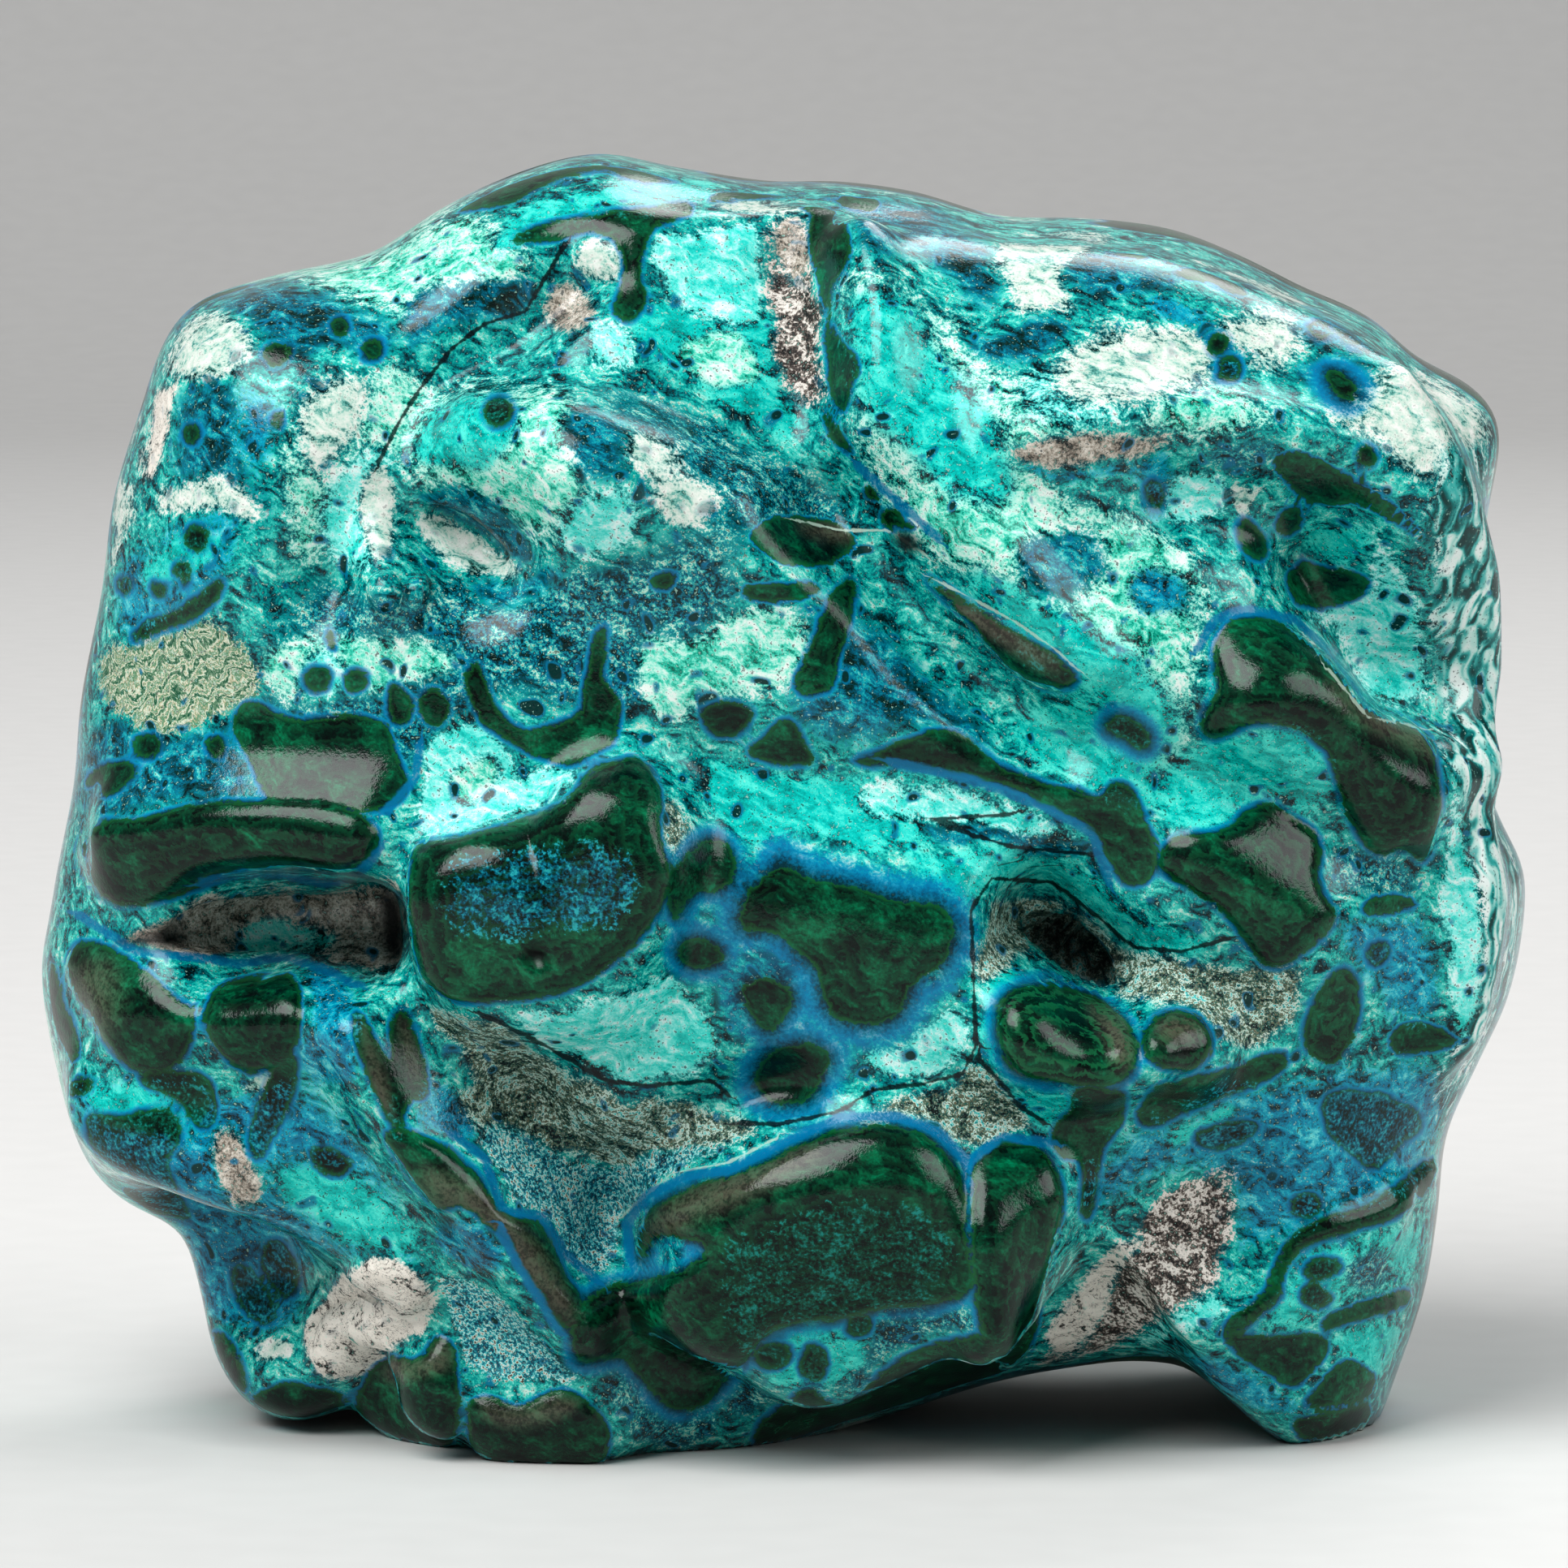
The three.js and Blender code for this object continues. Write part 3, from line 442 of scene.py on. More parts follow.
# Small eyes of malachite on the show face: (X, Y, radius), all on the map.
EYES = [
    (340, 439, 14), (420, 404, 12), (463, 431, 13), (239, 536, 12), (618, 509, 18), (244, 664, 15), (157, 722, 10),
    (198, 728, 9), (226, 702, 10), (394, 838, 15), (441, 840, 13), (185, 921, 16), (1519, 455, 15), (1505, 424, 13),
    (1688, 563, 13), (1630, 408, 13), (1102, 640, 13), (955, 1675, 12), (1060, 1633, 12), (203, 1379, 12),
    (1701, 1177, 14), (1663, 1381, 11), (1621, 1596, 13),
]
EYE_HALO = 0.6

# Grounds: (kind, softness of the edge in map steps, outline on the map). Later ones lie over earlier ones.
GROUNDS = [
    ("storm", 26, [
        (60, 880), (220, 890), (300, 840), (380, 690), (480, 740), (640, 690), (760, 680), (900, 650),
        (920, 760), (870, 800), (870, 870), (770, 900), (640, 860), (560, 900), (480, 1000), (340, 980),
        (60, 1060),
    ]),
    ("storm", 24, [
        (680, 480), (800, 480), (900, 530), (1020, 590), (1080, 660), (920, 670), (820, 650), (740, 560),
    ]),
    ("storm", 16, [
        (250, 350), (330, 335), (460, 350), (520, 400), (500, 450), (430, 440), (340, 430), (280, 410),
    ]),
    ("deep", 20, [
        (960, 740), (1080, 760), (1160, 850), (1260, 930), (1120, 900), (1060, 925), (1000, 900), (940, 820),
    ]),
    ("deep", 18, [
        (100, 900), (180, 890), (240, 905), (300, 890), (320, 990), (250, 985), (180, 1005), (96, 1010),
    ]),
    ("mint", 26, [
        (460, 305), (560, 255), (650, 298), (655, 345), (590, 395), (520, 420), (470, 380), (410, 370),
        (340, 350),
    ]),
    ("deep", 12, [
        (500, 385), (520, 350), (600, 345), (660, 350), (650, 388), (560, 400), (515, 440), (500, 420),
    ]),
    ("mint", 30, [
        (345, 520), (400, 460), (480, 440), (520, 470), (480, 560), (440, 640), (400, 700), (365, 690),
        (350, 600),
    ]),
    ("cream", 20, [(380, 470), (450, 455), (470, 490), (430, 560), (390, 600), (370, 540)]),
    ("deep", 12, [
        (250, 372), (330, 345), (400, 362), (450, 385), (490, 410), (480, 445), (450, 450), (430, 420),
        (400, 430), (370, 440), (330, 420), (300, 395),
    ]),
    ("cream", 14, [
        (210, 480), (205, 440), (230, 395), (260, 380), (300, 390), (318, 430), (290, 462), (250, 480),
    ]),
    ("quartz", 8, [(172, 590), (180, 530), (200, 480), (228, 462), (222, 500), (205, 550), (190, 590)]),
    ("cream", 10, [(150, 600), (172, 590), (165, 640), (148, 700), (130, 710)]),
    ("deep", 18, [
        (235, 480), (330, 470), (345, 500), (330, 560), (340, 640), (300, 650), (260, 610), (210, 600),
        (215, 540),
    ]),
    ("blue", 14, [(290, 470), (340, 480), (345, 540), (320, 600), (300, 560)]),
    ("cream", 16, [(195, 600), (260, 590), (320, 600), (330, 640), (260, 640), (200, 640)]),
    ("blue", 12, [
        (150, 780), (148, 710), (190, 665), (240, 640), (290, 632), (300, 680), (280, 710), (250, 735),
        (210, 758), (170, 795),
    ]),
    ("cyan", 10, [(180, 690), (230, 655), (280, 650), (270, 690), (220, 720), (180, 740)]),
    ("striped", 14, [
        (130, 800), (180, 793), (250, 760), (300, 785), (325, 830), (310, 875), (270, 890), (230, 908),
        (190, 900), (125, 870),
    ]),
    ("mint", 16, [(330, 800), (440, 780), (560, 800), (580, 830), (470, 850), (350, 870), (320, 840)]),
    ("pale", 12, [(370, 820), (400, 806), (430, 815), (432, 850), (400, 862), (368, 850)]),
    ("mint", 24, [
        (500, 500), (560, 470), (640, 480), (700, 480), (750, 540), (740, 600), (745, 660), (700, 685),
        (640, 660), (600, 622), (515, 600), (480, 560),
    ]),
    ("cyan", 18, [(520, 510), (600, 490), (650, 520), (620, 570), (560, 580), (510, 560)]),
    ("deep", 14, [(690, 520), (740, 500), (780, 530), (770, 590), (730, 600), (700, 570)]),
    ("cream", 14, [(765, 530), (820, 535), (850, 565), (820, 590), (775, 580)]),
    ("cream", 16, [(800, 590), (860, 580), (900, 620), (860, 650), (810, 640)]),
    ("pale", 16, [(700, 610), (780, 600), (800, 660), (740, 690), (690, 680)]),
    ("pale", 14, [
        (395, 600), (440, 560), (470, 545), (497, 565), (498, 640), (490, 700), (440, 710), (400, 690),
    ]),
    ("cream", 10, [(440, 610), (462, 570), (490, 575), (492, 640), (480, 700), (450, 705)]),
    ("cream", 10, [(512, 640), (540, 632), (600, 662), (648, 695), (640, 714), (590, 712), (540, 692)]),
    ("deep", 6, [
        (503, 603), (560, 606), (622, 618), (652, 668), (668, 692), (640, 692), (600, 656), (540, 626),
    ]),
    ("deep", 8, [(578, 708), (640, 718), (705, 698), (692, 722), (640, 748), (598, 738)]),
    ("cyan", 9, [
        (600, 300), (640, 262), (700, 235), (780, 222), (890, 226), (880, 245), (760, 262), (680, 285),
        (620, 305),
    ]),
    ("cream", 10, [(700, 325), (715, 300), (745, 292), (772, 308), (774, 340), (755, 352), (722, 345)]),
    ("haze_and_painted_sheen", 10, [(690, 350), (730, 360), (740, 400), (690, 420), (670, 390)]),
    ("pale", 14, [(720, 400), (790, 400), (800, 450), (740, 460)]),
    ("cyan", 12, [(800, 370), (945, 350), (955, 450), (1010, 545), (900, 505), (830, 455), (790, 430)]),
    ("pale", 9, [
        (805, 330), (812, 290), (850, 282), (900, 270), (942, 274), (946, 340), (940, 400), (880, 400),
        (830, 380),
    ]),
    ("mint", 10, [(830, 420), (900, 400), (950, 450), (930, 480), (860, 470)]),
    ("matrix", 9, [
        (948, 264), (1000, 264), (1004, 330), (1018, 400), (1020, 460), (1014, 505), (990, 490), (962, 440),
        (948, 360),
    ]),
    ("haze_and_painted_sheen", 8, [(955, 270), (998, 270), (1002, 330), (985, 360), (955, 340)]),
    ("cream", 7, [(868, 254), (900, 248), (950, 250), (1002, 258), (1004, 270), (946, 268), (880, 264)]),
    ("mint", 30, [
        (1045, 330), (1110, 345), (1190, 400), (1250, 460), (1300, 430), (1400, 420), (1500, 460),
        (1600, 520), (1500, 540), (1350, 560), (1280, 600), (1420, 650), (1500, 700), (1480, 800),
        (1480, 900), (1440, 1020), (1340, 860), (1240, 740), (1150, 690), (1060, 560), (1050, 450),
    ]),
    ("cyan", 30, [
        (1060, 360), (1130, 380), (1180, 460), (1250, 540), (1240, 640), (1160, 600), (1080, 520),
        (1056, 440),
    ]),
    ("pale", 30, [(1260, 460), (1330, 440), (1400, 460), (1420, 520), (1340, 545), (1270, 520)]),
    ("cyan", 26, [(1180, 700), (1300, 740), (1400, 800), (1460, 880), (1440, 940), (1360, 860), (1250, 790)]),
    ("deep", 14, [
        (1050, 250), (1100, 245), (1170, 262), (1225, 298), (1238, 350), (1224, 380), (1192, 376),
        (1176, 338), (1140, 318), (1100, 326), (1066, 304),
    ]),
    ("cream", 14, [
        (1225, 290), (1290, 283), (1385, 290), (1345, 315), (1310, 340), (1335, 385), (1300, 385),
        (1250, 378), (1236, 340),
    ]),
    ("cream", 26, [
        (1340, 410), (1450, 400), (1560, 375), (1640, 400), (1640, 440), (1560, 460), (1500, 470),
        (1430, 500), (1340, 515), (1290, 480),
    ]),
    ("deep", 8, [
        (1188, 413), (1220, 420), (1258, 410), (1270, 388), (1300, 383), (1328, 400), (1304, 425),
        (1290, 450), (1250, 458), (1214, 440),
    ]),
    ("deep", 10, [
        (1300, 335), (1340, 318), (1400, 322), (1452, 345), (1450, 362), (1400, 366), (1360, 380),
        (1330, 366),
    ]),
    ("blue", 8, [(1408, 375), (1440, 362), (1490, 378), (1506, 400), (1470, 404), (1430, 392)]),
    ("deep", 6, [(1476, 405), (1510, 402), (1545, 430), (1545, 448), (1505, 440)]),
    ("blue", 5, [(1495, 443), (1530, 442), (1546, 456), (1525, 470), (1500, 464)]),
    ("blue", 12, [(1590, 400), (1650, 388), (1700, 410), (1690, 430), (1620, 430)]),
    ("deep", 10, [(1600, 445), (1640, 440), (1700, 440), (1714, 480), (1682, 507), (1650, 512), (1618, 482)]),
    ("cream", 20, [
        (1700, 440), (1745, 448), (1840, 500), (1850, 570), (1835, 640), (1790, 640), (1740, 590),
        (1690, 540), (1640, 520), (1650, 505), (1690, 495),
    ]),
    # Painted highlight: this grey strip stands for the highlight along the dark streak of the crest.
    ("haze_and_painted_sheen", 9, [
        (1250, 562), (1290, 545), (1400, 538), (1452, 545), (1440, 562), (1380, 578), (1300, 588),
        (1258, 580),
    ]),
    ("blue", 7, [(1255, 575), (1320, 585), (1400, 575), (1450, 560), (1440, 580), (1360, 596), (1280, 592)]),
    ("storm", 12, [(1480, 555), (1540, 545), (1600, 550), (1560, 575), (1500, 590)]),
    ("blue", 10, [(1412, 580), (1450, 575), (1470, 610), (1440, 645), (1415, 640)]),
    ("pale", 10, [(1440, 590), (1500, 580), (1520, 620), (1470, 650), (1440, 630)]),
    # Painted highlight: this cream Y in the hollow stands for a white highlight.
    ("cream", 5, [
        (1500, 600), (1560, 594), (1572, 606), (1545, 616), (1552, 660), (1556, 690), (1542, 680),
        (1532, 630), (1512, 612),
    ]),
    ("deep", 14, [(1250, 660), (1340, 650), (1372, 690), (1340, 740), (1270, 730)]),
    ("blue", 12, [(1390, 712), (1440, 705), (1478, 735), (1460, 765), (1410, 750)]),
    ("pale", 16, [
        (1690, 640), (1725, 690), (1765, 760), (1770, 830), (1755, 865), (1700, 875), (1680, 850),
        (1650, 790), (1610, 765), (1640, 745), (1690, 730), (1700, 700),
    ]),
    ("cyan", 12, [(1600, 645), (1680, 650), (1700, 690), (1620, 690)]),
    ("cyan", 12, [
        (1430, 1022), (1440, 960), (1490, 922), (1560, 897), (1620, 912), (1645, 950), (1645, 985),
        (1610, 1012), (1580, 988), (1545, 985), (1520, 1020), (1460, 1027),
    ]),
    ("cyan", 16, [(1250, 870), (1350, 868), (1430, 930), (1430, 1010), (1350, 970), (1260, 930)]),
    ("mint", 18, [
        (790, 770), (860, 800), (900, 750), (1000, 745), (990, 830), (960, 860), (860, 862), (845, 900),
        (795, 880),
    ]),
    ("cyan", 9, [
        (862, 935), (920, 950), (1000, 962), (1080, 952), (1180, 963), (1280, 1000), (1352, 1045),
        (1330, 1062), (1250, 1056), (1140, 1032), (1100, 1062), (1000, 1022), (930, 1047), (880, 1002),
    ]),
    ("pale", 12, [
        (1060, 965), (1180, 970), (1290, 1010), (1345, 1048), (1270, 1050), (1150, 1015), (1060, 1010),
    ]),
    ("cyan", 9, [
        (1090, 1060), (1200, 1052), (1340, 1070), (1372, 1110), (1440, 1148), (1512, 1160), (1450, 1180),
        (1400, 1166), (1350, 1122), (1290, 1092), (1225, 1087), (1195, 1122), (1170, 1092),
    ]),
    ("blue", 18, [(560, 1050), (640, 1060), (760, 1040), (790, 1090), (760, 1150), (640, 1150), (550, 1140)]),
    ("cyan", 20, [
        (900, 1540), (1000, 1500), (1140, 1480), (1180, 1560), (1100, 1640), (980, 1680), (900, 1640),
    ]),
    ("deep", 5, [(1118, 1003), (1180, 1020), (1350, 1040), (1345, 1058), (1200, 1048), (1130, 1022)]),
    ("pale", 8, [
        (515, 935), (545, 912), (575, 900), (605, 905), (625, 930), (640, 960), (662, 945), (716, 945),
        (700, 975), (660, 1000), (620, 1016), (560, 1036), (520, 1036), (503, 1000), (530, 960),
    ]),
    ("mint", 8, [(550, 950), (590, 930), (620, 950), (600, 985), (560, 985)]),
    ("grain", 10, [(812, 985), (850, 1000), (862, 1040), (832, 1070), (814, 1030)]),
    ("pale", 8, [
        (625, 1252), (700, 1240), (760, 1225), (830, 1198), (852, 1230), (872, 1245), (892, 1290),
        (872, 1322), (800, 1337), (750, 1327), (700, 1302), (660, 1277),
    ]),
    ("pale", 8, [
        (1065, 1300), (1110, 1285), (1150, 1260), (1190, 1238), (1200, 1280), (1182, 1322), (1120, 1337),
        (1075, 1327),
    ]),
    ("grain", 9, [
        (528, 1240), (560, 1250), (620, 1262), (660, 1292), (700, 1322), (760, 1347), (770, 1368),
        (820, 1352), (880, 1372), (950, 1397), (900, 1412), (830, 1430), (790, 1440), (740, 1440),
        (690, 1422), (640, 1402), (560, 1387), (540, 1352), (600, 1332), (560, 1292),
    ]),
    ("grain", 8, [
        (1040, 1388), (1100, 1360), (1180, 1345), (1200, 1310), (1232, 1330), (1262, 1370), (1282, 1392),
        (1240, 1402), (1200, 1410), (1170, 1395), (1130, 1380),
    ]),
    ("frost", 8, [
        (588, 1395), (660, 1405), (720, 1450), (770, 1440), (830, 1422), (900, 1412), (870, 1432),
        (810, 1460), (770, 1500), (758, 1562), (730, 1577), (700, 1552), (680, 1500), (640, 1485),
        (620, 1440),
    ]),
    ("blue", 8, [
        (372, 1188), (410, 1178), (442, 1230), (440, 1290), (432, 1335), (396, 1347), (370, 1322),
        (386, 1260),
    ]),
    ("cyan", 5, [(478, 1372), (492, 1342), (510, 1370), (505, 1400), (488, 1404)]),
    ("blue", 8, [(520, 1340), (560, 1330), (600, 1400), (560, 1402), (520, 1382)]),
    ("blue", 8, [(548, 1500), (600, 1508), (627, 1560), (600, 1572), (560, 1562), (538, 1530)]),
    ("blue", 16, [
        (85, 1330), (150, 1328), (240, 1328), (270, 1360), (370, 1330), (440, 1400), (490, 1480), (530, 1560),
        (450, 1550), (380, 1560), (300, 1600), (230, 1600), (220, 1510), (110, 1430),
    ]),
    ("cyan", 14, [(90, 1340), (180, 1335), (260, 1350), (230, 1400), (150, 1390)]),
    ("cyan", 14, [(330, 1440), (420, 1440), (500, 1500), (520, 1545), (440, 1540), (360, 1500)]),
    ("haze_and_painted_sheen", 8, [(264, 1400), (290, 1385), (320, 1440), (334, 1488), (284, 1490), (262, 1450)]),
    ("cream", 7, [(300, 1330), (350, 1312), (346, 1348), (305, 1350)]),
    ("cream", 6, [(328, 1528), (372, 1578), (347, 1578)]),
    ("blue", 12, [(230, 1560), (300, 1540), (380, 1580), (370, 1640), (290, 1650), (245, 1610)]),
    ("quartz", 6, [
        (378, 1640), (400, 1600), (430, 1570), (460, 1548), (500, 1553), (532, 1590), (532, 1630),
        (490, 1662), (460, 1690), (435, 1707), (398, 1702), (378, 1680),
    ]),
    ("cream", 6, [(310, 1655), (362, 1648), (356, 1678), (318, 1688)]),
    ("frost", 8, [
        (546, 1575), (600, 1590), (652, 1640), (702, 1690), (718, 1706), (650, 1707), (590, 1702),
        (570, 1650), (550, 1610),
    ]),
    ("storm", 9, [
        (738, 1690), (770, 1680), (800, 1720), (850, 1750), (892, 1745), (882, 1782), (820, 1792),
        (770, 1772), (750, 1732),
    ]),
    ("storm", 12, [
        (900, 1720), (950, 1690), (1020, 1640), (1100, 1620), (1195, 1600), (1240, 1640), (1140, 1655),
        (1080, 1690), (1060, 1720), (1000, 1712), (930, 1752), (888, 1745),
    ]),
    ("cyan", 12, [(940, 1710), (1000, 1660), (1080, 1640), (1060, 1690), (990, 1712)]),
    ("matrix", 10, [
        (1287, 1690), (1290, 1650), (1330, 1600), (1380, 1540), (1420, 1490), (1480, 1458), (1526, 1462),
        (1517, 1520), (1507, 1570), (1500, 1592), (1450, 1622), (1380, 1652), (1340, 1672),
    ]),
    ("quartz", 10, [
        (1290, 1660), (1300, 1620), (1350, 1570), (1400, 1520), (1420, 1530), (1380, 1580), (1350, 1640),
        (1310, 1680),
    ]),
    ("matrix", 6, [
        (1487, 1480), (1500, 1440), (1560, 1424), (1620, 1430), (1646, 1452), (1600, 1452), (1550, 1447),
        (1520, 1462),
    ]),
    ("pale", 8, [(1400, 1650), (1450, 1630), (1510, 1600), (1515, 1630), (1460, 1650), (1410, 1660)]),
    ("blue", 22, [
        (1520, 1330), (1620, 1340), (1700, 1310), (1800, 1300), (1800, 1390), (1770, 1430), (1700, 1490),
        (1640, 1500), (1580, 1520), (1520, 1550), (1530, 1460), (1440, 1440), (1330, 1500), (1350, 1420),
        (1450, 1380),
    ]),
    ("blue", 14, [(1640, 1350), (1740, 1330), (1790, 1360), (1740, 1420), (1660, 1430)]),
    ("cyan", 8, [(1440, 1400), (1500, 1370), (1532, 1358), (1512, 1388), (1450, 1412)]),
    ("cyan", 14, [
        (1560, 1640), (1600, 1570), (1620, 1540), (1700, 1530), (1760, 1500), (1752, 1580), (1650, 1602),
        (1600, 1642),
    ]),
    ("storm", 10, [(1650, 1550), (1720, 1540), (1730, 1580), (1660, 1600)]),
    ("cyan", 8, [(1648, 1650), (1740, 1622), (1742, 1680), (1700, 1705), (1662, 1672)]),
    ("blue", 10, [
        (1300, 1700), (1400, 1665), (1500, 1675), (1600, 1725), (1600, 1760), (1500, 1725), (1400, 1700),
    ]),
    ("grain", 8, [
        (1205, 1180), (1215, 1140), (1240, 1110), (1300, 1105), (1350, 1135), (1390, 1180), (1370, 1230),
        (1260, 1155), (1215, 1230),
    ]),
    ("grain", 10, [
        (1375, 1190), (1400, 1176), (1470, 1180), (1520, 1200), (1602, 1200), (1612, 1240), (1560, 1292),
        (1510, 1292), (1490, 1252), (1430, 1230), (1395, 1240),
    ]),
    ("cyan", 10, [
        (1205, 1240), (1215, 1200), (1250, 1190), (1300, 1200), (1240, 1215), (1228, 1260), (1230, 1320),
        (1208, 1300),
    ]),
    ("cyan", 8, [(1230, 1345), (1280, 1345), (1340, 1350), (1300, 1370), (1290, 1400), (1260, 1370)]),
    ("haze_and_painted_sheen", 8, [
        (140, 1160), (200, 1135), (250, 1105), (290, 1105), (380, 1095), (430, 1110), (455, 1085),
        (490, 1085), (505, 1120), (505, 1182), (480, 1207), (430, 1192), (380, 1177), (320, 1187),
        (220, 1182), (170, 1167),
    ]),
    ("pale", 7, [(295, 1150), (320, 1130), (390, 1142), (430, 1160), (400, 1172), (350, 1180), (300, 1184)]),
    ("streak", 22, [
        (1775, 560), (1850, 560), (1900, 900), (1930, 1250), (1850, 1400), (1790, 1700), (1765, 1700),
        (1785, 1400), (1790, 1250), (1800, 1000), (1785, 880), (1770, 700),
    ]),
    # Painted highlight: this pale strip down the ridge on the right stands for a reflection of the light at the
    # right.
    ("pale", 10, [
        (1790, 950), (1802, 1000), (1822, 1080), (1842, 1150), (1832, 1200), (1822, 1274), (1800, 1282),
        (1788, 1200), (1778, 1120), (1785, 1040),
    ]),
    ("blue", 14, [(1640, 1140), (1700, 1120), (1770, 1140), (1785, 1250), (1720, 1262), (1685, 1200)]),
    ("storm", 14, [(1650, 1040), (1740, 1060), (1760, 1110), (1690, 1110), (1640, 1090)]),
]

# Painted light over the stone: a brown-grey sheen, which is a painted reflection over the malachite, and black
# painted shade in the holes, as (kind, softness, outline on the map).
PAINTED_LIGHT_OVERLAYS = [
    ("painted_sheen", 9, [
        (790, 1522), (830, 1476), (900, 1450), (960, 1425), (1010, 1410), (1020, 1432), (960, 1462),
        (900, 1492), (850, 1512), (810, 1552),
    ]),
    ("painted_sheen", 9, [
        (515, 1440), (560, 1448), (602, 1470), (642, 1510), (682, 1550), (702, 1590), (716, 1642),
        (690, 1622), (650, 1582), (610, 1542), (560, 1502), (530, 1482),
    ]),
    ("painted_sheen", 6, [(445, 1250), (460, 1280), (480, 1330), (488, 1378), (470, 1368), (452, 1310)]),
    ("painted_sheen", 6, [(490, 1250), (506, 1262), (522, 1320), (515, 1342), (500, 1310)]),
    ("painted_sheen", 8, [(1335, 1238), (1375, 1250), (1400, 1280), (1402, 1320), (1375, 1322), (1368, 1280)]),
    ("painted_sheen", 8, [(1428, 1255), (1470, 1250), (1492, 1275), (1462, 1292), (1430, 1284)]),
    ("painted_sheen", 6, [
        (468, 1690), (490, 1674), (520, 1680), (545, 1650), (562, 1665), (560, 1690), (520, 1702),
        (480, 1708),
    ]),
    ("painted_sheen", 6, [(590, 1728), (640, 1742), (690, 1718), (722, 1728), (700, 1750), (640, 1766), (600, 1752)]),
    ("painted_sheen", 8, [
        (1635, 835), (1680, 863), (1720, 880), (1770, 908), (1776, 942), (1740, 922), (1690, 902),
        (1650, 872),
    ]),
    ("painted_sheen", 7, [(1165, 732), (1230, 763), (1290, 798), (1322, 830), (1290, 826), (1230, 792), (1183, 757)]),
    ("painted_sheen", 7, [(985, 643), (1040, 648), (1062, 668), (1020, 668), (990, 657)]),
    ("painted_sheen", 6, [
        (458, 714), (480, 706), (497, 722), (520, 710), (532, 726), (525, 748), (505, 752), (480, 757),
        (462, 746),
    ]),
    ("painted_sheen", 16, [(85, 1205), (110, 1180), (145, 1192), (150, 1250), (130, 1282), (100, 1242)]),
    # Painted shade: black painted into the pit, the slot and the small holes, where shade falls.
    ("painted_hole_shade", 6, [
        (1262, 1150), (1280, 1138), (1312, 1124), (1345, 1150), (1366, 1175), (1402, 1164), (1382, 1192),
        (1377, 1226), (1340, 1207), (1300, 1182),
    ]),
    ("painted_hole_shade", 6, [(136, 1160), (190, 1146), (230, 1140), (236, 1160), (220, 1174), (180, 1171)]),
    ("painted_hole_shade", 6, [(470, 1090), (502, 1110), (503, 1182), (482, 1192), (470, 1150)]),
    ("painted_hole_shade", 4, [(646, 1170), (664, 1165), (681, 1176), (677, 1189), (657, 1189)]),
    ("painted_hole_shade", 5, [(1100, 655), (1125, 652), (1145, 675), (1125, 690), (1105, 676)]),
    ("painted_hole_shade", 4, [(548, 1500), (560, 1496), (556, 1520), (548, 1530)]),
]

# The last two kinds are painted light: a brown-grey painted reflection over the malachite, and black painted shade
# in the holes.
KINDS = (
    "mint", "cream", "pale", "cyan", "blue", "deep", "grain", "matrix",
    "quartz", "streak", "frost", "striped", "storm", "haze_and_painted_sheen", "painted_sheen", "painted_hole_shade",
)
SOFT_EDGED = ("mint", "cream", "pale", "quartz", "haze_and_painted_sheen", "cyan")
STORES = ("ground_a", "ground_b", "ground_c", "ground_d")
# The most that a ground may cover, so that the one beneath shows through.
MOST = {
    "mint": 0.87, "deep": 0.8, "cream": 0.78, "blue": 0.72, "pale": 0.85, "cyan": 0.92, "quartz": 0.9,
    "storm": 0.8, "haze_and_painted_sheen": 0.8,
}

# Fine lines drawn in the stone, all on the map: dark ones, pale ones that are painted highlights along lit edges,
# and blue ones.
DARK_LINES = [
    [(590, 1249), (656, 1280), (700, 1305), (750, 1334), (800, 1340), (880, 1334), (902, 1352)],
    [
        (910, 1385), (960, 1388), (1036, 1372), (1080, 1345), (1140, 1338), (1190, 1325), (1206, 1290),
        (1203, 1200), (1200, 1124),
    ],
    [(1200, 1124), (1225, 1084), (1300, 1089), (1360, 1134), (1400, 1169), (1460, 1174), (1515, 1159)],
    [(1203, 1300), (1240, 1340), (1260, 1365), (1290, 1385)],
    [(700, 300), (650, 385), (600, 400), (560, 430), (520, 480), (495, 520), (470, 570)],
    [(1250, 1005), (1140, 1012), (1250, 1045), (1350, 1055)],
]
# Painted highlights: pale stripes along the lit upper edges of the lip, the mass under the seam, the hook and the
# botryoid.
PAINTED_HIGHLIGHT_LINES = [
    [(1148, 712), (1200, 738), (1250, 765), (1300, 798), (1338, 832)],
    [(985, 642), (1040, 655), (1100, 655), (1150, 690)],
    [(1640, 825), (1665, 855), (1690, 885), (1740, 895), (1760, 900)],
    [(770, 1500), (830, 1448), (900, 1435), (960, 1405)],
]
BLUE_LINES = [
    [(250, 1090), (300, 1078), (350, 1078), (400, 1090), (440, 1085), (470, 1050)],
    [(100, 1130), (170, 1175), (230, 1180), (300, 1190), (350, 1180), (400, 1195), (440, 1215)],
    [
        (780, 1560), (775, 1510), (800, 1475), (850, 1450), (900, 1445), (960, 1415), (1040, 1378),
        (1110, 1378), (1165, 1400), (1195, 1435), (1240, 1402), (1300, 1412),
    ],
    [(630, 1495), (670, 1500), (700, 1550), (740, 1580)],
    [(560, 1400), (600, 1430), (620, 1490)],
    [(690, 1640), (640, 1560), (620, 1520)],
    [(1480, 800), (1500, 765), (1540, 752), (1600, 765), (1650, 810), (1690, 870)],
    [(1060, 575), (1110, 620), (1160, 665)],
    [(480, 1000), (515, 960), (520, 920)],
    [(1100, 940), (1200, 962), (1300, 1000), (1350, 1030), (1372, 1090)],
]

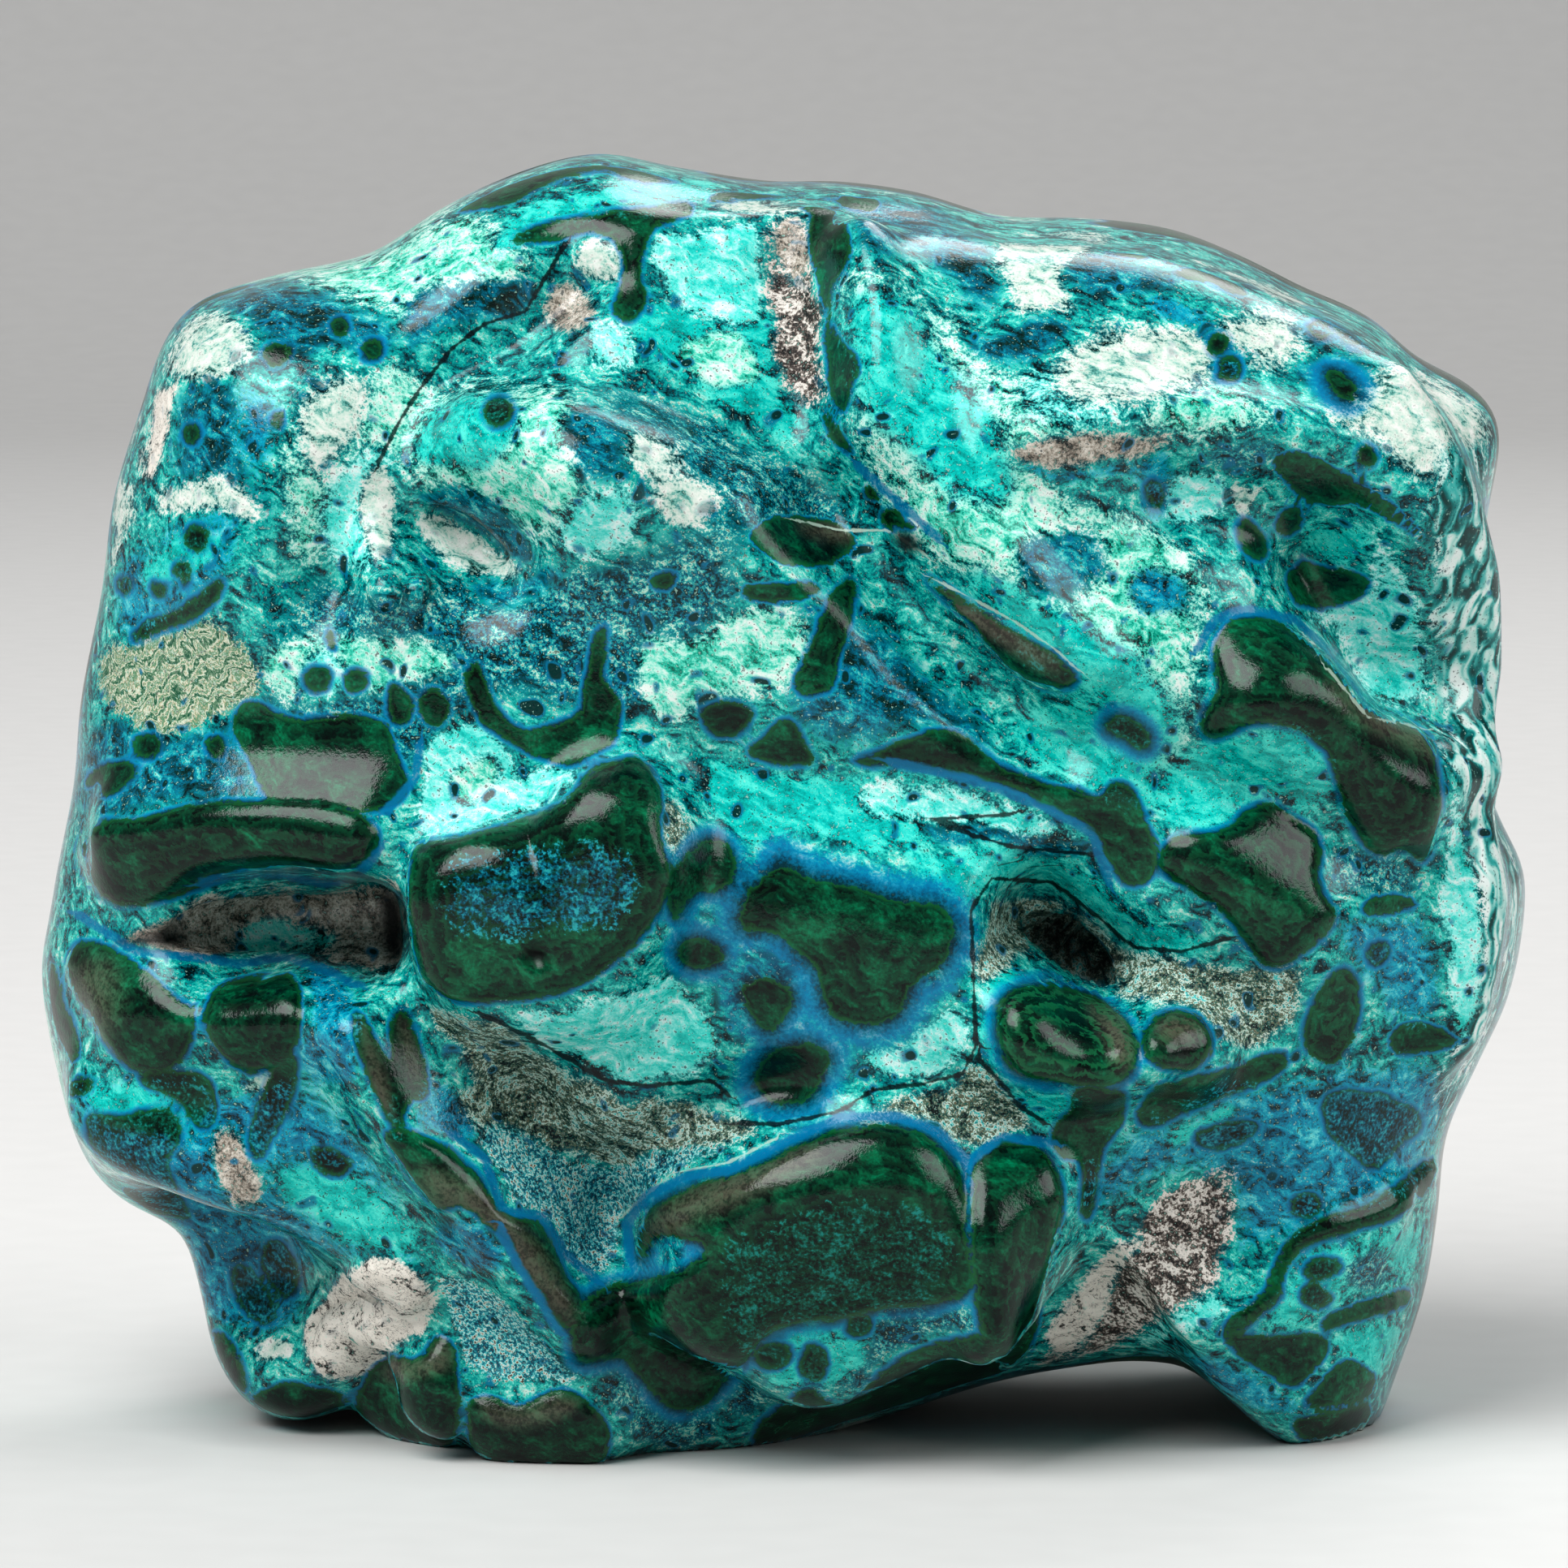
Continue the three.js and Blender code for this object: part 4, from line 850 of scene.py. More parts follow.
# Hollows and raised masses with crisp sides:
# (name, rise in mm, width of the side in map steps, outline on the map).
STEPS = [
    ("slot floor", -2.5, 22, [
        (150, 1152), (200, 1140), (240, 1115), (300, 1105), (420, 1100), (450, 1085), (480, 1085),
        (500, 1120), (502, 1190), (470, 1205), (420, 1190), (360, 1170), (300, 1180), (220, 1180),
    ]),
    ("pit mouth", -5.0, 16, [
        (1255, 1140), (1275, 1122), (1320, 1128), (1345, 1150), (1372, 1175), (1380, 1215), (1345, 1210),
        (1300, 1185),
    ]),
    ("pocket", -1.6, 22, [(515, 615), (570, 625), (610, 655), (645, 695), (600, 708), (540, 670)]),
    ("block", 0.9, 16, MALACHITE["block"][2]),
    ("block pinhole", -1.2, 8, [(645, 1168), (665, 1164), (682, 1175), (678, 1190), (655, 1190)]),
    ("banded knob", 1.0, 22, MALACHITE["banded knob"][2]),
    ("small knob", 0.9, 20, MALACHITE["small knob"][2]),
    ("botryoid", 0.8, 26, MALACHITE["botryoid"][2]),
    ("botryoid, side", 0.8, 22, MALACHITE["botryoid, side"][2]),
    ("brown ridge", 0.7, 20, MALACHITE["brown ridge"][2]),
    ("hook", 0.9, 24, MALACHITE["hook"][2]),
    ("saddle", 0.6, 22, MALACHITE["saddle"][2]),
    ("lip", 1.1, 22, MALACHITE["lip"][2]),
    ("left lens", 0.6, 22, MALACHITE["left lens"][2]),
    ("left lens, inner", 0.6, 22, MALACHITE["left lens, inner"][2]),
    ("brow", 0.6, 24, MALACHITE["brow"][2]),
    ("toe", 0.8, 20, MALACHITE["toe"][2]),
    ("toe, wide", 0.8, 20, MALACHITE["toe, wide"][2]),
    ("knob a", 1.4, 22, [(455, 730), (462, 712), (480, 705), (497, 716), (500, 740), (485, 758), (465, 752)]),
    ("knob b", 1.2, 18, [(498, 730), (505, 712), (520, 708), (532, 722), (530, 745), (512, 755)]),
    ("quartz knob", 1.3, 26, [
        (378, 1610), (420, 1560), (480, 1545), (525, 1555), (540, 1600), (500, 1640), (450, 1690),
        (430, 1710), (390, 1700), (375, 1660),
    ]),
    ("cream nodule", 0.6, 16, [
        (700, 320), (712, 296), (750, 292), (772, 305), (775, 335), (745, 348), (705, 345),
    ]),
    ("green sash", 0.6, 14, MALACHITE["green sash"][2]),
    ("green sash, low", 0.5, 12, MALACHITE["green sash, low"][2]),
]

# ---------------------------------------------------------------- the sides and the back
POLISH_PASSES = 8
SIDE_ISLANDS = 110
GROUND_BLEND = 1.8
SIDE_GROUNDS = [
    ("mint", 0.055, 0.54), ("deep", 0.05, 0.57), ("cyan", 0.09, 0.6), ("storm", 0.06, 0.58), ("cream", 0.07, 0.66),
    ("blue", 0.11, 0.68), ("matrix", 0.06, 0.76), ("frost", 0.08, 0.74),
]
FAR = 8.0


def smooth(low, high, value):
    """0 below low, 1 above high and an even ease between them."""
    share = np.clip((value - low) / (high - low), 0.0, 1.0)
    return share * share * (3.0 - 2.0 * share)


def unit(vectors):
    """The same directions, each one long."""
    return vectors / np.linalg.norm(vectors, axis=-1, keepdims=True)


def outline_radius(angle):
    """The outline's distance from the centre: a closed cubic through its points."""
    across, up = np.array(OUTLINE, float).T
    angles = np.arctan2(up - CENTRE_HEIGHT, across)
    order = np.argsort(angles)
    angles = angles[order]
    radii = np.hypot(across, up - CENTRE_HEIGHT)[order]
    turn = 2.0 * math.pi
    slopes = (np.roll(radii, -1) - np.roll(radii, 1)) / np.mod(np.roll(angles, -1) - np.roll(angles, 1), turn)
    after = np.searchsorted(angles, angle, side="right") % len(angles)
    before = (after - 1) % len(angles)
    span = np.mod(angles[after] - angles[before], turn)
    t = np.mod(angle - angles[before], turn) / span
    return (
        (2 * t**3 - 3 * t**2 + 1) * radii[before]
        + (t**3 - 2 * t**2 + t) * span * slopes[before]
        + (3 * t**2 - 2 * t**3) * radii[after]
        + (t**3 - t**2) * span * slopes[after]
    )


def face_radius(angle, share):
    """A smooth oval inside that gives way to the true outline at the rim."""
    across = np.abs(np.cos(angle)) / CALM_WIDTH
    up = np.abs(np.sin(angle)) / CALM_HEIGHT
    calm = (across**ROUNDNESS + up**ROUNDNESS) ** (-1.0 / ROUNDNESS)
    rim = smooth(RIM_BLEND[0], RIM_BLEND[1], share)
    return calm * (1.0 - rim) + outline_radius(angle) * rim


def boulder_points(angle, share, front):
    """Points of the plain boulder at angles round its centre and shares of the way out."""
    radius = face_radius(angle, share) * share
    bulge = np.clip(1.0 - share**ROUNDNESS, 0.0, 1.0) ** (1.0 / ROUNDNESS)
    size_a, phase_a, size_b, phase_b = RIM_WANDER
    sway = size_a * np.sin(angle + phase_a) + size_b * np.sin(3.0 * angle + phase_b)
    depth = np.where(front, -FRONT_DEPTH, BACK_DEPTH) * bulge + sway * (1.0 - bulge)
    return np.stack((radius * np.cos(angle), depth, CENTRE_HEIGHT + radius * np.sin(angle)), axis=-1)


def points_on_face(places, front):
    """Points of the plain boulder in front of, or behind, places given in X and Z."""
    across, up = np.array(places, float).T
    angle = np.arctan2(up - CENTRE_HEIGHT, across)
    away = np.hypot(across, up - CENTRE_HEIGHT)
    share = away / outline_radius(angle)
    for _ in range(12):
        share = np.minimum(1.0, away / face_radius(angle, np.minimum(1.0, share)))
    return boulder_points(angle, share, front)


def sphere_grid():
    """Directions and four-cornered faces of a closed six-sided grid, drawn towards the show face."""
    points, faces, used = [], [], 0
    for axis in range(3):
        side_b, side_c = (axis + 1) % 3, (axis + 2) % 3
        steps_b, steps_c = GRID[side_b], GRID[side_c]
        for end in (-1.0, 1.0):
            along_b, along_c = np.linspace(-1, 1, steps_b + 1), np.linspace(-1, 1, steps_c + 1)
            b, c = np.meshgrid(along_b, along_c, indexing="ij")
            patch = np.empty(b.shape + (3,))
            patch[..., axis], patch[..., side_b], patch[..., side_c] = end, b, c
            at = np.arange(b.size).reshape(b.shape) + used
            corners = [at[:-1, :-1], at[1:, :-1], at[1:, 1:], at[:-1, 1:]]
            if end < 0:
                corners.reverse()
            points.append(patch.reshape(-1, 3))
            faces.append(np.stack([corner.ravel() for corner in corners], axis=-1))
            used += b.size
    points = np.concatenate(points)
    whole = np.round(points * 1e6).astype(np.int64)
    _, first, same = np.unique(whole, axis=0, return_index=True, return_inverse=True)
    ways = unit(np.tan(points[first] * math.pi / 4.0))
    ways[:, 1] -= FRONT_BIAS
    return unit(ways), same.ravel()[np.concatenate(faces)]


def surface_normals(points, faces):
    """Outward directions at the points of a surface of four-cornered faces."""
    a, b, c, d = (points[faces[:, i]] for i in range(4))
    facing = np.cross(c - a, d - b)
    sums = np.zeros_like(points)
    for axis in range(3):
        for corner in range(4):
            sums[:, axis] += np.bincount(faces[:, corner], weights=facing[:, axis], minlength=len(points))
    return unit(sums)


def eased(points, faces, passes, share):
    """The surface with every point drawn towards the middle of its neighbours."""
    starts = faces.ravel()
    ends = np.roll(faces, -1, axis=1).ravel()
    counts = np.bincount(starts, minlength=len(points))[:, None]
    for _ in range(passes):
        sums = [np.bincount(starts, weights=points[ends, axis], minlength=len(points)) for axis in range(3)]
        sums = np.stack(sums, axis=-1)
        points = points + (sums / counts - points) * share
    return points


def distance_to_line(points, line):
    """How far points are from a line of joined straight pieces."""
    if len(line) == 1:
        return np.linalg.norm(points - line[0], axis=-1)
    least = np.full(len(points), np.inf)
    for start, end in zip(line[:-1], line[1:]):
        along = end - start
        share = np.clip((points - start) @ along / (along @ along), 0.0, 1.0)
        least = np.minimum(least, np.linalg.norm(points - start - share[:, None] * along, axis=-1))
    return least


def value_noise(points, offset):
    """Smooth noise from 0 to 1 with a knot at every whole number."""
    table = np.random.default_rng(SEED + offset).random((32, 32, 32))
    base = np.floor(points).astype(int)
    part = points - base
    part = part * part * (3.0 - 2.0 * part)
    total = np.zeros(len(points))
    for step in np.ndindex(2, 2, 2):
        i, j, k = ((base + step) % 32).T
        weight = np.prod(np.where(step, part, 1.0 - part), axis=-1)
        total += table[i, j, k] * weight
    return total


def layered_noise(points, offset):
    """Three sizes of smooth noise on top of one another."""
    layers = sum(value_noise(points * 2.1**n, offset + n) * 0.55**n for n in range(3))
    return layers / sum(0.55**n for n in range(3))


def carved(points, faces):
    """The boulder with its ridges and hollows."""
    normals = surface_normals(points, faces)
    rise = np.zeros(len(points))
    for _, face, height, reach, edge, line in RELIEF:
        away = distance_to_line(points, points_on_face(line, face == "front")) / reach
        rise += height * np.exp(-(away**edge))
    return eased(points + normals * rise[:, None], faces, POLISH_PASSES, 0.5)


def on_map(points):
    """Where points fall on the flat map of the show face."""
    toward = np.array((0.0, -math.cos(VIEW_TILT), math.sin(VIEW_TILT)))
    up = np.array((0.0, math.sin(VIEW_TILT), math.cos(VIEW_TILT)))
    away = points - (0.0, 0.0, MAP_HEIGHT)
    step = (VIEW_DISTANCE - away @ toward) / VIEW_DISTANCE * MAP_STEP
    return np.stack((MAP_MIDDLE + away[:, 0] / step, MAP_MIDDLE - (away @ up) / step), axis=-1)


def turned_to_view(points, normals):
    """1 on the show face, 0 on what is turned away from it."""
    toward = np.array((0.0, -math.cos(VIEW_TILT), math.sin(VIEW_TILT)))
    viewpoint = toward * VIEW_DISTANCE + (0.0, 0.0, MAP_HEIGHT)
    return smooth(0.03, 0.25, (normals * unit(viewpoint - points)).sum(axis=-1))


def rounded(outline, passes):
    """A closed outline with its corners cut and cut again."""
    corners = np.array(outline, float)
    for _ in range(passes):
        after = np.roll(corners, -1, axis=0)
        cut = (corners * 0.75 + after * 0.25, corners * 0.25 + after * 0.75)
        corners = np.stack(cut, axis=1).reshape(-1, 2)
    return corners


def inside_distance(places, outline, reach, passes=2):
    """Distance to an outline on the map: more than 0 inside it, less outside, and no less than -reach."""
    corners = rounded(outline, passes)
    result = np.full(len(places), -float(reach))
    low, high = corners.min(axis=0) - reach, corners.max(axis=0) + reach
    near = np.flatnonzero(((places > low) & (places < high)).all(axis=1))
    spot = places[near]
    least = np.full(len(near), np.inf)
    inside = np.zeros(len(near), bool)
    for start, end in zip(corners, np.roll(corners, -1, axis=0)):
        along = end - start
        away = spot - start
        share = np.clip(away @ along / (along @ along), 0.0, 1.0)
        least = np.minimum(least, np.hypot(*(away - share[:, None] * along).T))
        if along[1]:
            crossing = (start[1] > spot[:, 1]) != (end[1] > spot[:, 1])
            inside ^= crossing & (away[:, 0] < away[:, 1] * along[0] / along[1])
    result[near] = np.where(inside, least, -np.minimum(least, reach))
    return result


def stepped(points, faces):
    """The boulder with its crisp-sided hollows and rounded masses."""
    normals = surface_normals(points, faces)
    turned = turned_to_view(points, normals)
    places = on_map(points)
    rise = np.zeros(len(points))
    for _, height, width, outline in STEPS:
        share = np.clip(inside_distance(places, outline, width) / width, 0.0, 1.0)
        rise += height * (np.sqrt(1.0 - (1.0 - share) ** 2) if height > 0 else smooth(0.0, 1.0, share))
    return points + normals * (rise * turned)[:, None]


def ground_feet(points):
    """What reaches below the floor is ground flat, drawn towards the centre."""
    kept = np.where(points[:, 2] < 0.0, CENTRE_HEIGHT / (CENTRE_HEIGHT - points[:, 2]), 1.0)
    return np.stack((points[:, 0] * kept, points[:, 1] * kept, np.maximum(points[:, 2], 0.0)), axis=-1)


def line_offsets(places, lines):
    """Signed distance to the nearest of some lines on the map, and how near it is, from 0 to 1."""
    least = np.full(len(places), 1e6)
    signed = np.full(len(places), 1e6)
    for line in lines:
        ends = np.array(line, float)
        for start, end in zip(ends[:-1], ends[1:]):
            along = end - start
            away = places - start
            share = np.clip(away @ along / (along @ along), 0.0, 1.0)
            distance = np.hypot(*(away - share[:, None] * along).T)
            side = np.sign(away[:, 0] * along[1] - away[:, 1] * along[0])
            signed = np.where(distance < least, distance * side, signed)
            least = np.minimum(least, distance)
    near = 1.0 - smooth(0.9, 1.5, least * MAP_STEP)
    return np.clip(signed * MAP_STEP, -3.0, 3.0), near


def show_malachite(places, points):
    """Depth inside the malachite of the show face, with its halo's width and its bands' strength."""
    wobble = np.stack([layered_noise(points * 0.45, 40 + i) - 0.5 for i in (0, 5)], axis=-1)
    spots = places + wobble * 9.0
    depth = np.full(len(places), -FAR)
    halo, bands, weight = (np.full(len(places), 1e-6) for _ in range(3))
    for wide, strength, outline in MALACHITE.values():
        inside = inside_distance(spots, outline, FAR / MAP_STEP) * MAP_STEP
        share = np.exp(np.clip(inside, -FAR, 1.0) * 2.5)
        depth = np.maximum(depth, inside)
        halo += wide * share
        bands += strength * share
        weight += share
    for across, down, radius in EYES:
        inside = (radius - np.hypot(*(spots - (across, down)).T)) * MAP_STEP
        share = np.exp(np.clip(inside, -FAR, 1.0) * 2.5)
        depth = np.maximum(depth, inside)
        halo += EYE_HALO * share
        weight += share
    return depth, halo / weight, bands / weight


def side_malachite(points, normals, turned):
    """Depth inside the islands of malachite strewn over the sides and the back."""
    draw = np.random.default_rng(SEED)
    wobble = np.stack([layered_noise(points * 0.22, 60 + 4 * i) - 0.5 for i in range(3)], axis=-1)
    spots = points + wobble * 7.0
    depth = np.full(len(points), -FAR)
    for seat in draw.choice(np.flatnonzero(turned < 0.7), SIDE_ISLANDS, replace=False):
        radius = draw.uniform(1.0, 2.6) ** 2.0
        stretch = draw.uniform(1.0, 2.6)
        tangent = unit(np.cross(normals[seat], draw.normal(size=3)))
        away = spots - spots[seat]
        along = away @ tangent
        reach = np.sqrt(np.maximum((away**2).sum(axis=1) - along**2, 0.0) + (along / stretch) ** 2)
        depth = np.maximum(depth, radius - reach)
    return depth


def ground_weights(places, points, turned):
    """How much of each kind of ground shows at every point."""
    shown = {kind: np.zeros(len(points)) for kind in KINDS}
    behind = {kind: np.zeros(len(points)) for kind in KINDS}
    wobble = np.stack([layered_noise(points * 0.3, 20 + i) - 0.5 for i in (0, 5)], axis=-1)
    spots = places + wobble * 34.0
    for kind, soft, outline in GROUNDS:
        inside = inside_distance(spots, outline, 70.0, 1)
        cover = smooth(-soft * GROUND_BLEND, soft * GROUND_BLEND, inside) * MOST.get(kind, 1.0)
        for other in KINDS:
            shown[other] *= 1.0 - cover
        shown[kind] += cover
    for number, (kind, pitch, level) in enumerate(SIDE_GROUNDS):
        noise = layered_noise(points * pitch * (1.0, 1.0, 1.4), 80 + 7 * number)
        cover = 0.85 * smooth(level - 0.07, level + 0.08, noise)
        for other in KINDS:
            behind[other] *= 1.0 - cover
        behind[kind] += cover
    # Painted light: the painted reflection over the malachite and the painted shade in the holes.
    for kind, soft, outline in PAINTED_LIGHT_OVERLAYS:
        inside = inside_distance(places, outline, 40.0, 1)
        shown[kind] = np.maximum(shown[kind], smooth(-soft * 1.5, soft * 2.0, inside))
    return {kind: shown[kind] * turned + behind[kind] * (1.0 - turned) for kind in KINDS}


def linear(red, green, blue):
    """A screen colour, 0 to 255, as the light it stands for."""
    parts = (part / 255.0 for part in (red, green, blue))
    return tuple(part / 12.92 if part <= 0.04045 else ((part + 0.055) / 1.055) ** 2.4 for part in parts)


class Graph:
    """Short ways to add shader nodes and join them."""

    def __init__(self, tree):
        self.tree = tree

    def add(self, kind, inputs=(), **settings):
        node = self.tree.nodes.new(kind)
        for name, value in settings.items():
            setattr(node, name, value)
        for name, value in dict(inputs).items():
            self.feed(node.inputs[name], value)
        return node

    def feed(self, socket, value):
        if isinstance(value, bpy.types.NodeSocket):
            self.tree.links.new(value, socket)
        else:
            socket.default_value = value

    def math(self, operation, a, b=0.0, clamp=False):
        return self.add("ShaderNodeMath", {0: a, 1: b}, operation=operation, use_clamp=clamp).outputs[0]

    def plus(self, a, b, clamp=False):
        return self.math("ADD", a, b, clamp)

    def minus(self, a, b):
        return self.math("SUBTRACT", a, b)

    def times(self, a, b):
        return self.math("MULTIPLY", a, b)

    def ease(self, value, low, high, start=0.0, end=1.0):
        inputs = {"Value": value, "From Min": low, "From Max": high, "To Min": start, "To Max": end}
        return self.add("ShaderNodeMapRange", inputs, interpolation_type="SMOOTHSTEP").outputs[0]

    def blend(self, *parts):
        """A sum of values, each times its share."""
        total = None
        for value, share in parts:
            scaled = self.times(value, share)
            total = scaled if total is None else self.plus(total, scaled)
        return total

    def torn(self, share, push):
        """A share whose edge is torn up by a pattern."""
        between = self.times(share, self.minus(1.0, share))
        return self.ease(self.plus(share, self.times(between, push)), 0.34, 0.66)

    def mix(self, share, a, b):
        node = self.add("ShaderNodeMix", {0: share}, data_type="RGBA")
        for socket, value in ((node.inputs[6], a), (node.inputs[7], b)):
            self.feed(socket, value if isinstance(value, bpy.types.NodeSocket) else (*value, 1.0))
        return node.outputs[2]

    def ramp(self, value, stops):
        """Colours, 0 to 255, that follow a value."""
        node = self.add("ShaderNodeValToRGB", {0: value})
        marks = node.color_ramp.elements
        while len(marks) < len(stops):
            marks.new(0.5)
        for mark, (place, _) in zip(marks, stops):
            mark.position = place
        for mark, (_, colour) in zip(marks, stops):
            mark.color = (*linear(*colour), 1.0)
        return node.outputs[0]

    def noise(self, vector, scale, detail, roughness=0.5):
        inputs = {"Vector": vector, "Scale": scale, "Detail": detail, "Roughness": roughness}
        return self.add("ShaderNodeTexNoise", inputs).outputs

    def scaled(self, vector, scale):
        return self.add("ShaderNodeVectorMath", {0: vector, "Scale": scale}, operation="SCALE").outputs[0]

    def joined(self, operation, vector, other):
        return self.add("ShaderNodeVectorMath", {0: vector, 1: other}, operation=operation).outputs[0]

    def turned(self, vector, degrees):
        inputs = {"Vector": vector, "Angle": math.radians(degrees)}
        return self.add("ShaderNodeVectorRotate", inputs, rotation_type="Y_AXIS").outputs[0]

    def split(self, vector):
        return self.add("ShaderNodeSeparateXYZ", {0: vector}).outputs

    def named(self, name):
        return self.add("ShaderNodeAttribute", attribute_name=name, attribute_type="GEOMETRY").outputs

    def parts(self, name):
        """The four numbers of a stored colour."""
        stored = self.named(name)
        split = self.add("ShaderNodeSeparateColor", {"Color": stored["Color"]})
        return (*split.outputs[:3], stored["Alpha"])


# ---------------------------------------------------------------- the material, in millimetres
WANDER_SCALE, WANDER_REACH = 0.5, 2.0
DRIFT_SCALE = 0.22
FLOW_TURN, FLOW_STRETCH = -24.0, (0.42, 0.8, 1.0)
FINE_SCALE = 3.2
CELL_SCALE = 0.55
STREAK_STRETCH = (0.75, 0.75, 0.11)
STRIPE_TURN, STRIPE_RATE, STRIPE_BEND = 38.0, 4.6, 16.0
EDGE_PUSH, SOFT_SHARE = 15.0, 0.6
EYE_CELLS = 0.3
RING_RATE, RING_BEND, RING_STRENGTH = 5.6, 8.0, 0.6
BUMP_DISTANCE = 0.0006

# Colours from 0 to 255.
EYE_RING = (0, 108, 140)
EYE_MIDDLE = (0, 44, 36)
DARK_SPECK = (2, 38, 42)
LIGHT_SPECK = (176, 222, 206)
QUARTZ_FLAW = (10, 12, 14)
GROWTH_RING = (24, 104, 66)
# Painted reflection: the brown-grey of the painted sheen.
PAINTED_SHEEN_COLOUR = (104, 98, 84)
# Painted shade: the black painted into the holes.
HOLE_SHADE_COLOUR = (5, 6, 7)
HALO_STOPS = [
    (0.0, (0, 46, 56)), (0.2, (0, 88, 120)), (0.5, (0, 122, 162)), (0.8, (0, 148, 176)), (1.0, (40, 182, 186)),
]
BODY_STOPS = [
    (0.38, (0, 8, 6)), (0.45, (0, 26, 18)), (0.51, (0, 48, 32)), (0.57, (0, 76, 50)), (0.66, (0, 114, 78)),
]
BLUE_FIELD_STOPS = [(0.43, (0, 32, 32)), (0.5, (0, 68, 82)), (0.55, (0, 102, 122)), (0.62, (40, 150, 154))]
GREEN_FIELD_STOPS = [(0.43, (0, 20, 14)), (0.5, (0, 54, 40)), (0.56, (0, 86, 72)), (0.63, (20, 128, 120))]

# Dark lines, pale painted-highlight lines and blue lines: (colour, half width in mm, most that they cover).
LINE_LOOKS = (((6, 16, 20), 0.16, 0.9), ((190, 212, 196), 0.1, 0.6), ((0, 108, 150), 0.3, 0.8))

# The grounds' colours as stops of a ramp, each with the pattern that drives it.
GROUND_LOOKS = {
    "base": ("mottle", [
        (0.39, (0, 24, 26)), (0.43, (0, 66, 74)), (0.47, (0, 114, 118)), (0.51, (0, 154, 146)),
        (0.56, (70, 194, 180)), (0.63, (190, 220, 208)),
    ]),
    "storm": ("speckle", [
        (0.39, (0, 14, 12)), (0.44, (0, 44, 38)), (0.475, (0, 70, 92)), (0.515, (0, 116, 132)),
        (0.56, (50, 170, 160)), (0.61, (180, 212, 196)),
    ]),
    "deep": ("mottle", [
        (0.39, (0, 24, 18)), (0.44, (0, 52, 50)), (0.48, (0, 80, 100)), (0.53, (0, 118, 138)),
        (0.58, (30, 164, 166)), (0.65, (140, 206, 196)),
    ]),
    "mint": ("mottle", [
        (0.36, (0, 84, 72)), (0.42, (6, 148, 126)), (0.47, (74, 198, 174)), (0.53, (164, 220, 204)),
        (0.6, (216, 226, 220)),
    ]),
    "cyan": ("mottle", [
        (0.34, (0, 84, 84)), (0.42, (0, 142, 136)), (0.5, (0, 184, 174)), (0.6, (84, 216, 200)),
    ]),
    "blue": ("mottle", [
        (0.37, (0, 36, 48)), (0.43, (0, 78, 104)), (0.49, (0, 120, 150)), (0.55, (8, 158, 178)),
        (0.64, (110, 206, 204)),
    ]),
    "pale": ("mottle", [
        (0.37, (0, 168, 160)), (0.44, (44, 200, 188)), (0.52, (124, 222, 212)), (0.61, (212, 234, 230)),
    ]),
    "cream": ("mottle", [
        (0.35, (20, 90, 86)), (0.42, (96, 160, 150)), (0.48, (176, 200, 188)), (0.56, (208, 214, 206)),
        (0.68, (228, 228, 224)),
    ]),
    # A grey ground of the stone that is partly a painted sheen, a painted reflection on lit edges.
    "haze_and_painted_sheen": ("speckle", [
        (0.4, (60, 58, 54)), (0.46, (124, 116, 106)), (0.52, (170, 162, 150)), (0.6, (212, 206, 196)),
    ]),
    "grain": ("speckle", [
        (0.4, (4, 12, 12)), (0.44, (10, 44, 46)), (0.465, (40, 112, 100)), (0.49, (134, 118, 90)),
        (0.505, (24, 48, 46)), (0.525, (150, 190, 170)), (0.55, (214, 216, 204)), (0.6, (70, 190, 186)),
    ]),
    "matrix": ("speckle", [
        (0.4, (12, 12, 13)), (0.45, (48, 43, 41)), (0.49, (92, 82, 76)), (0.52, (150, 142, 134)),
        (0.56, (220, 214, 206)),
    ]),
    "quartz": ("mottle", [
        (0.38, (14, 16, 18)), (0.42, (104, 100, 96)), (0.46, (212, 206, 196)), (0.7, (234, 229, 220)),
    ]),
    "streak": ("streaks", [
        (0.38, (0, 56, 54)), (0.45, (0, 108, 106)), (0.51, (60, 166, 160)), (0.58, (170, 210, 202)),
        (0.68, (214, 224, 220)),
    ]),
    "frost": ("salt", [
        (0.4, (0, 44, 62)), (0.45, (0, 92, 112)), (0.49, (20, 142, 152)), (0.53, (110, 200, 196)),
        (0.57, (204, 224, 218)), (0.63, (150, 110, 70)),
    ]),
    "striped": ("stripes", [
        (0.37, (24, 80, 58)), (0.43, (110, 146, 116)), (0.49, (206, 212, 194)), (0.55, (178, 172, 144)),
        (0.6, (60, 122, 88)), (0.66, (196, 210, 192)),
    ]),
}

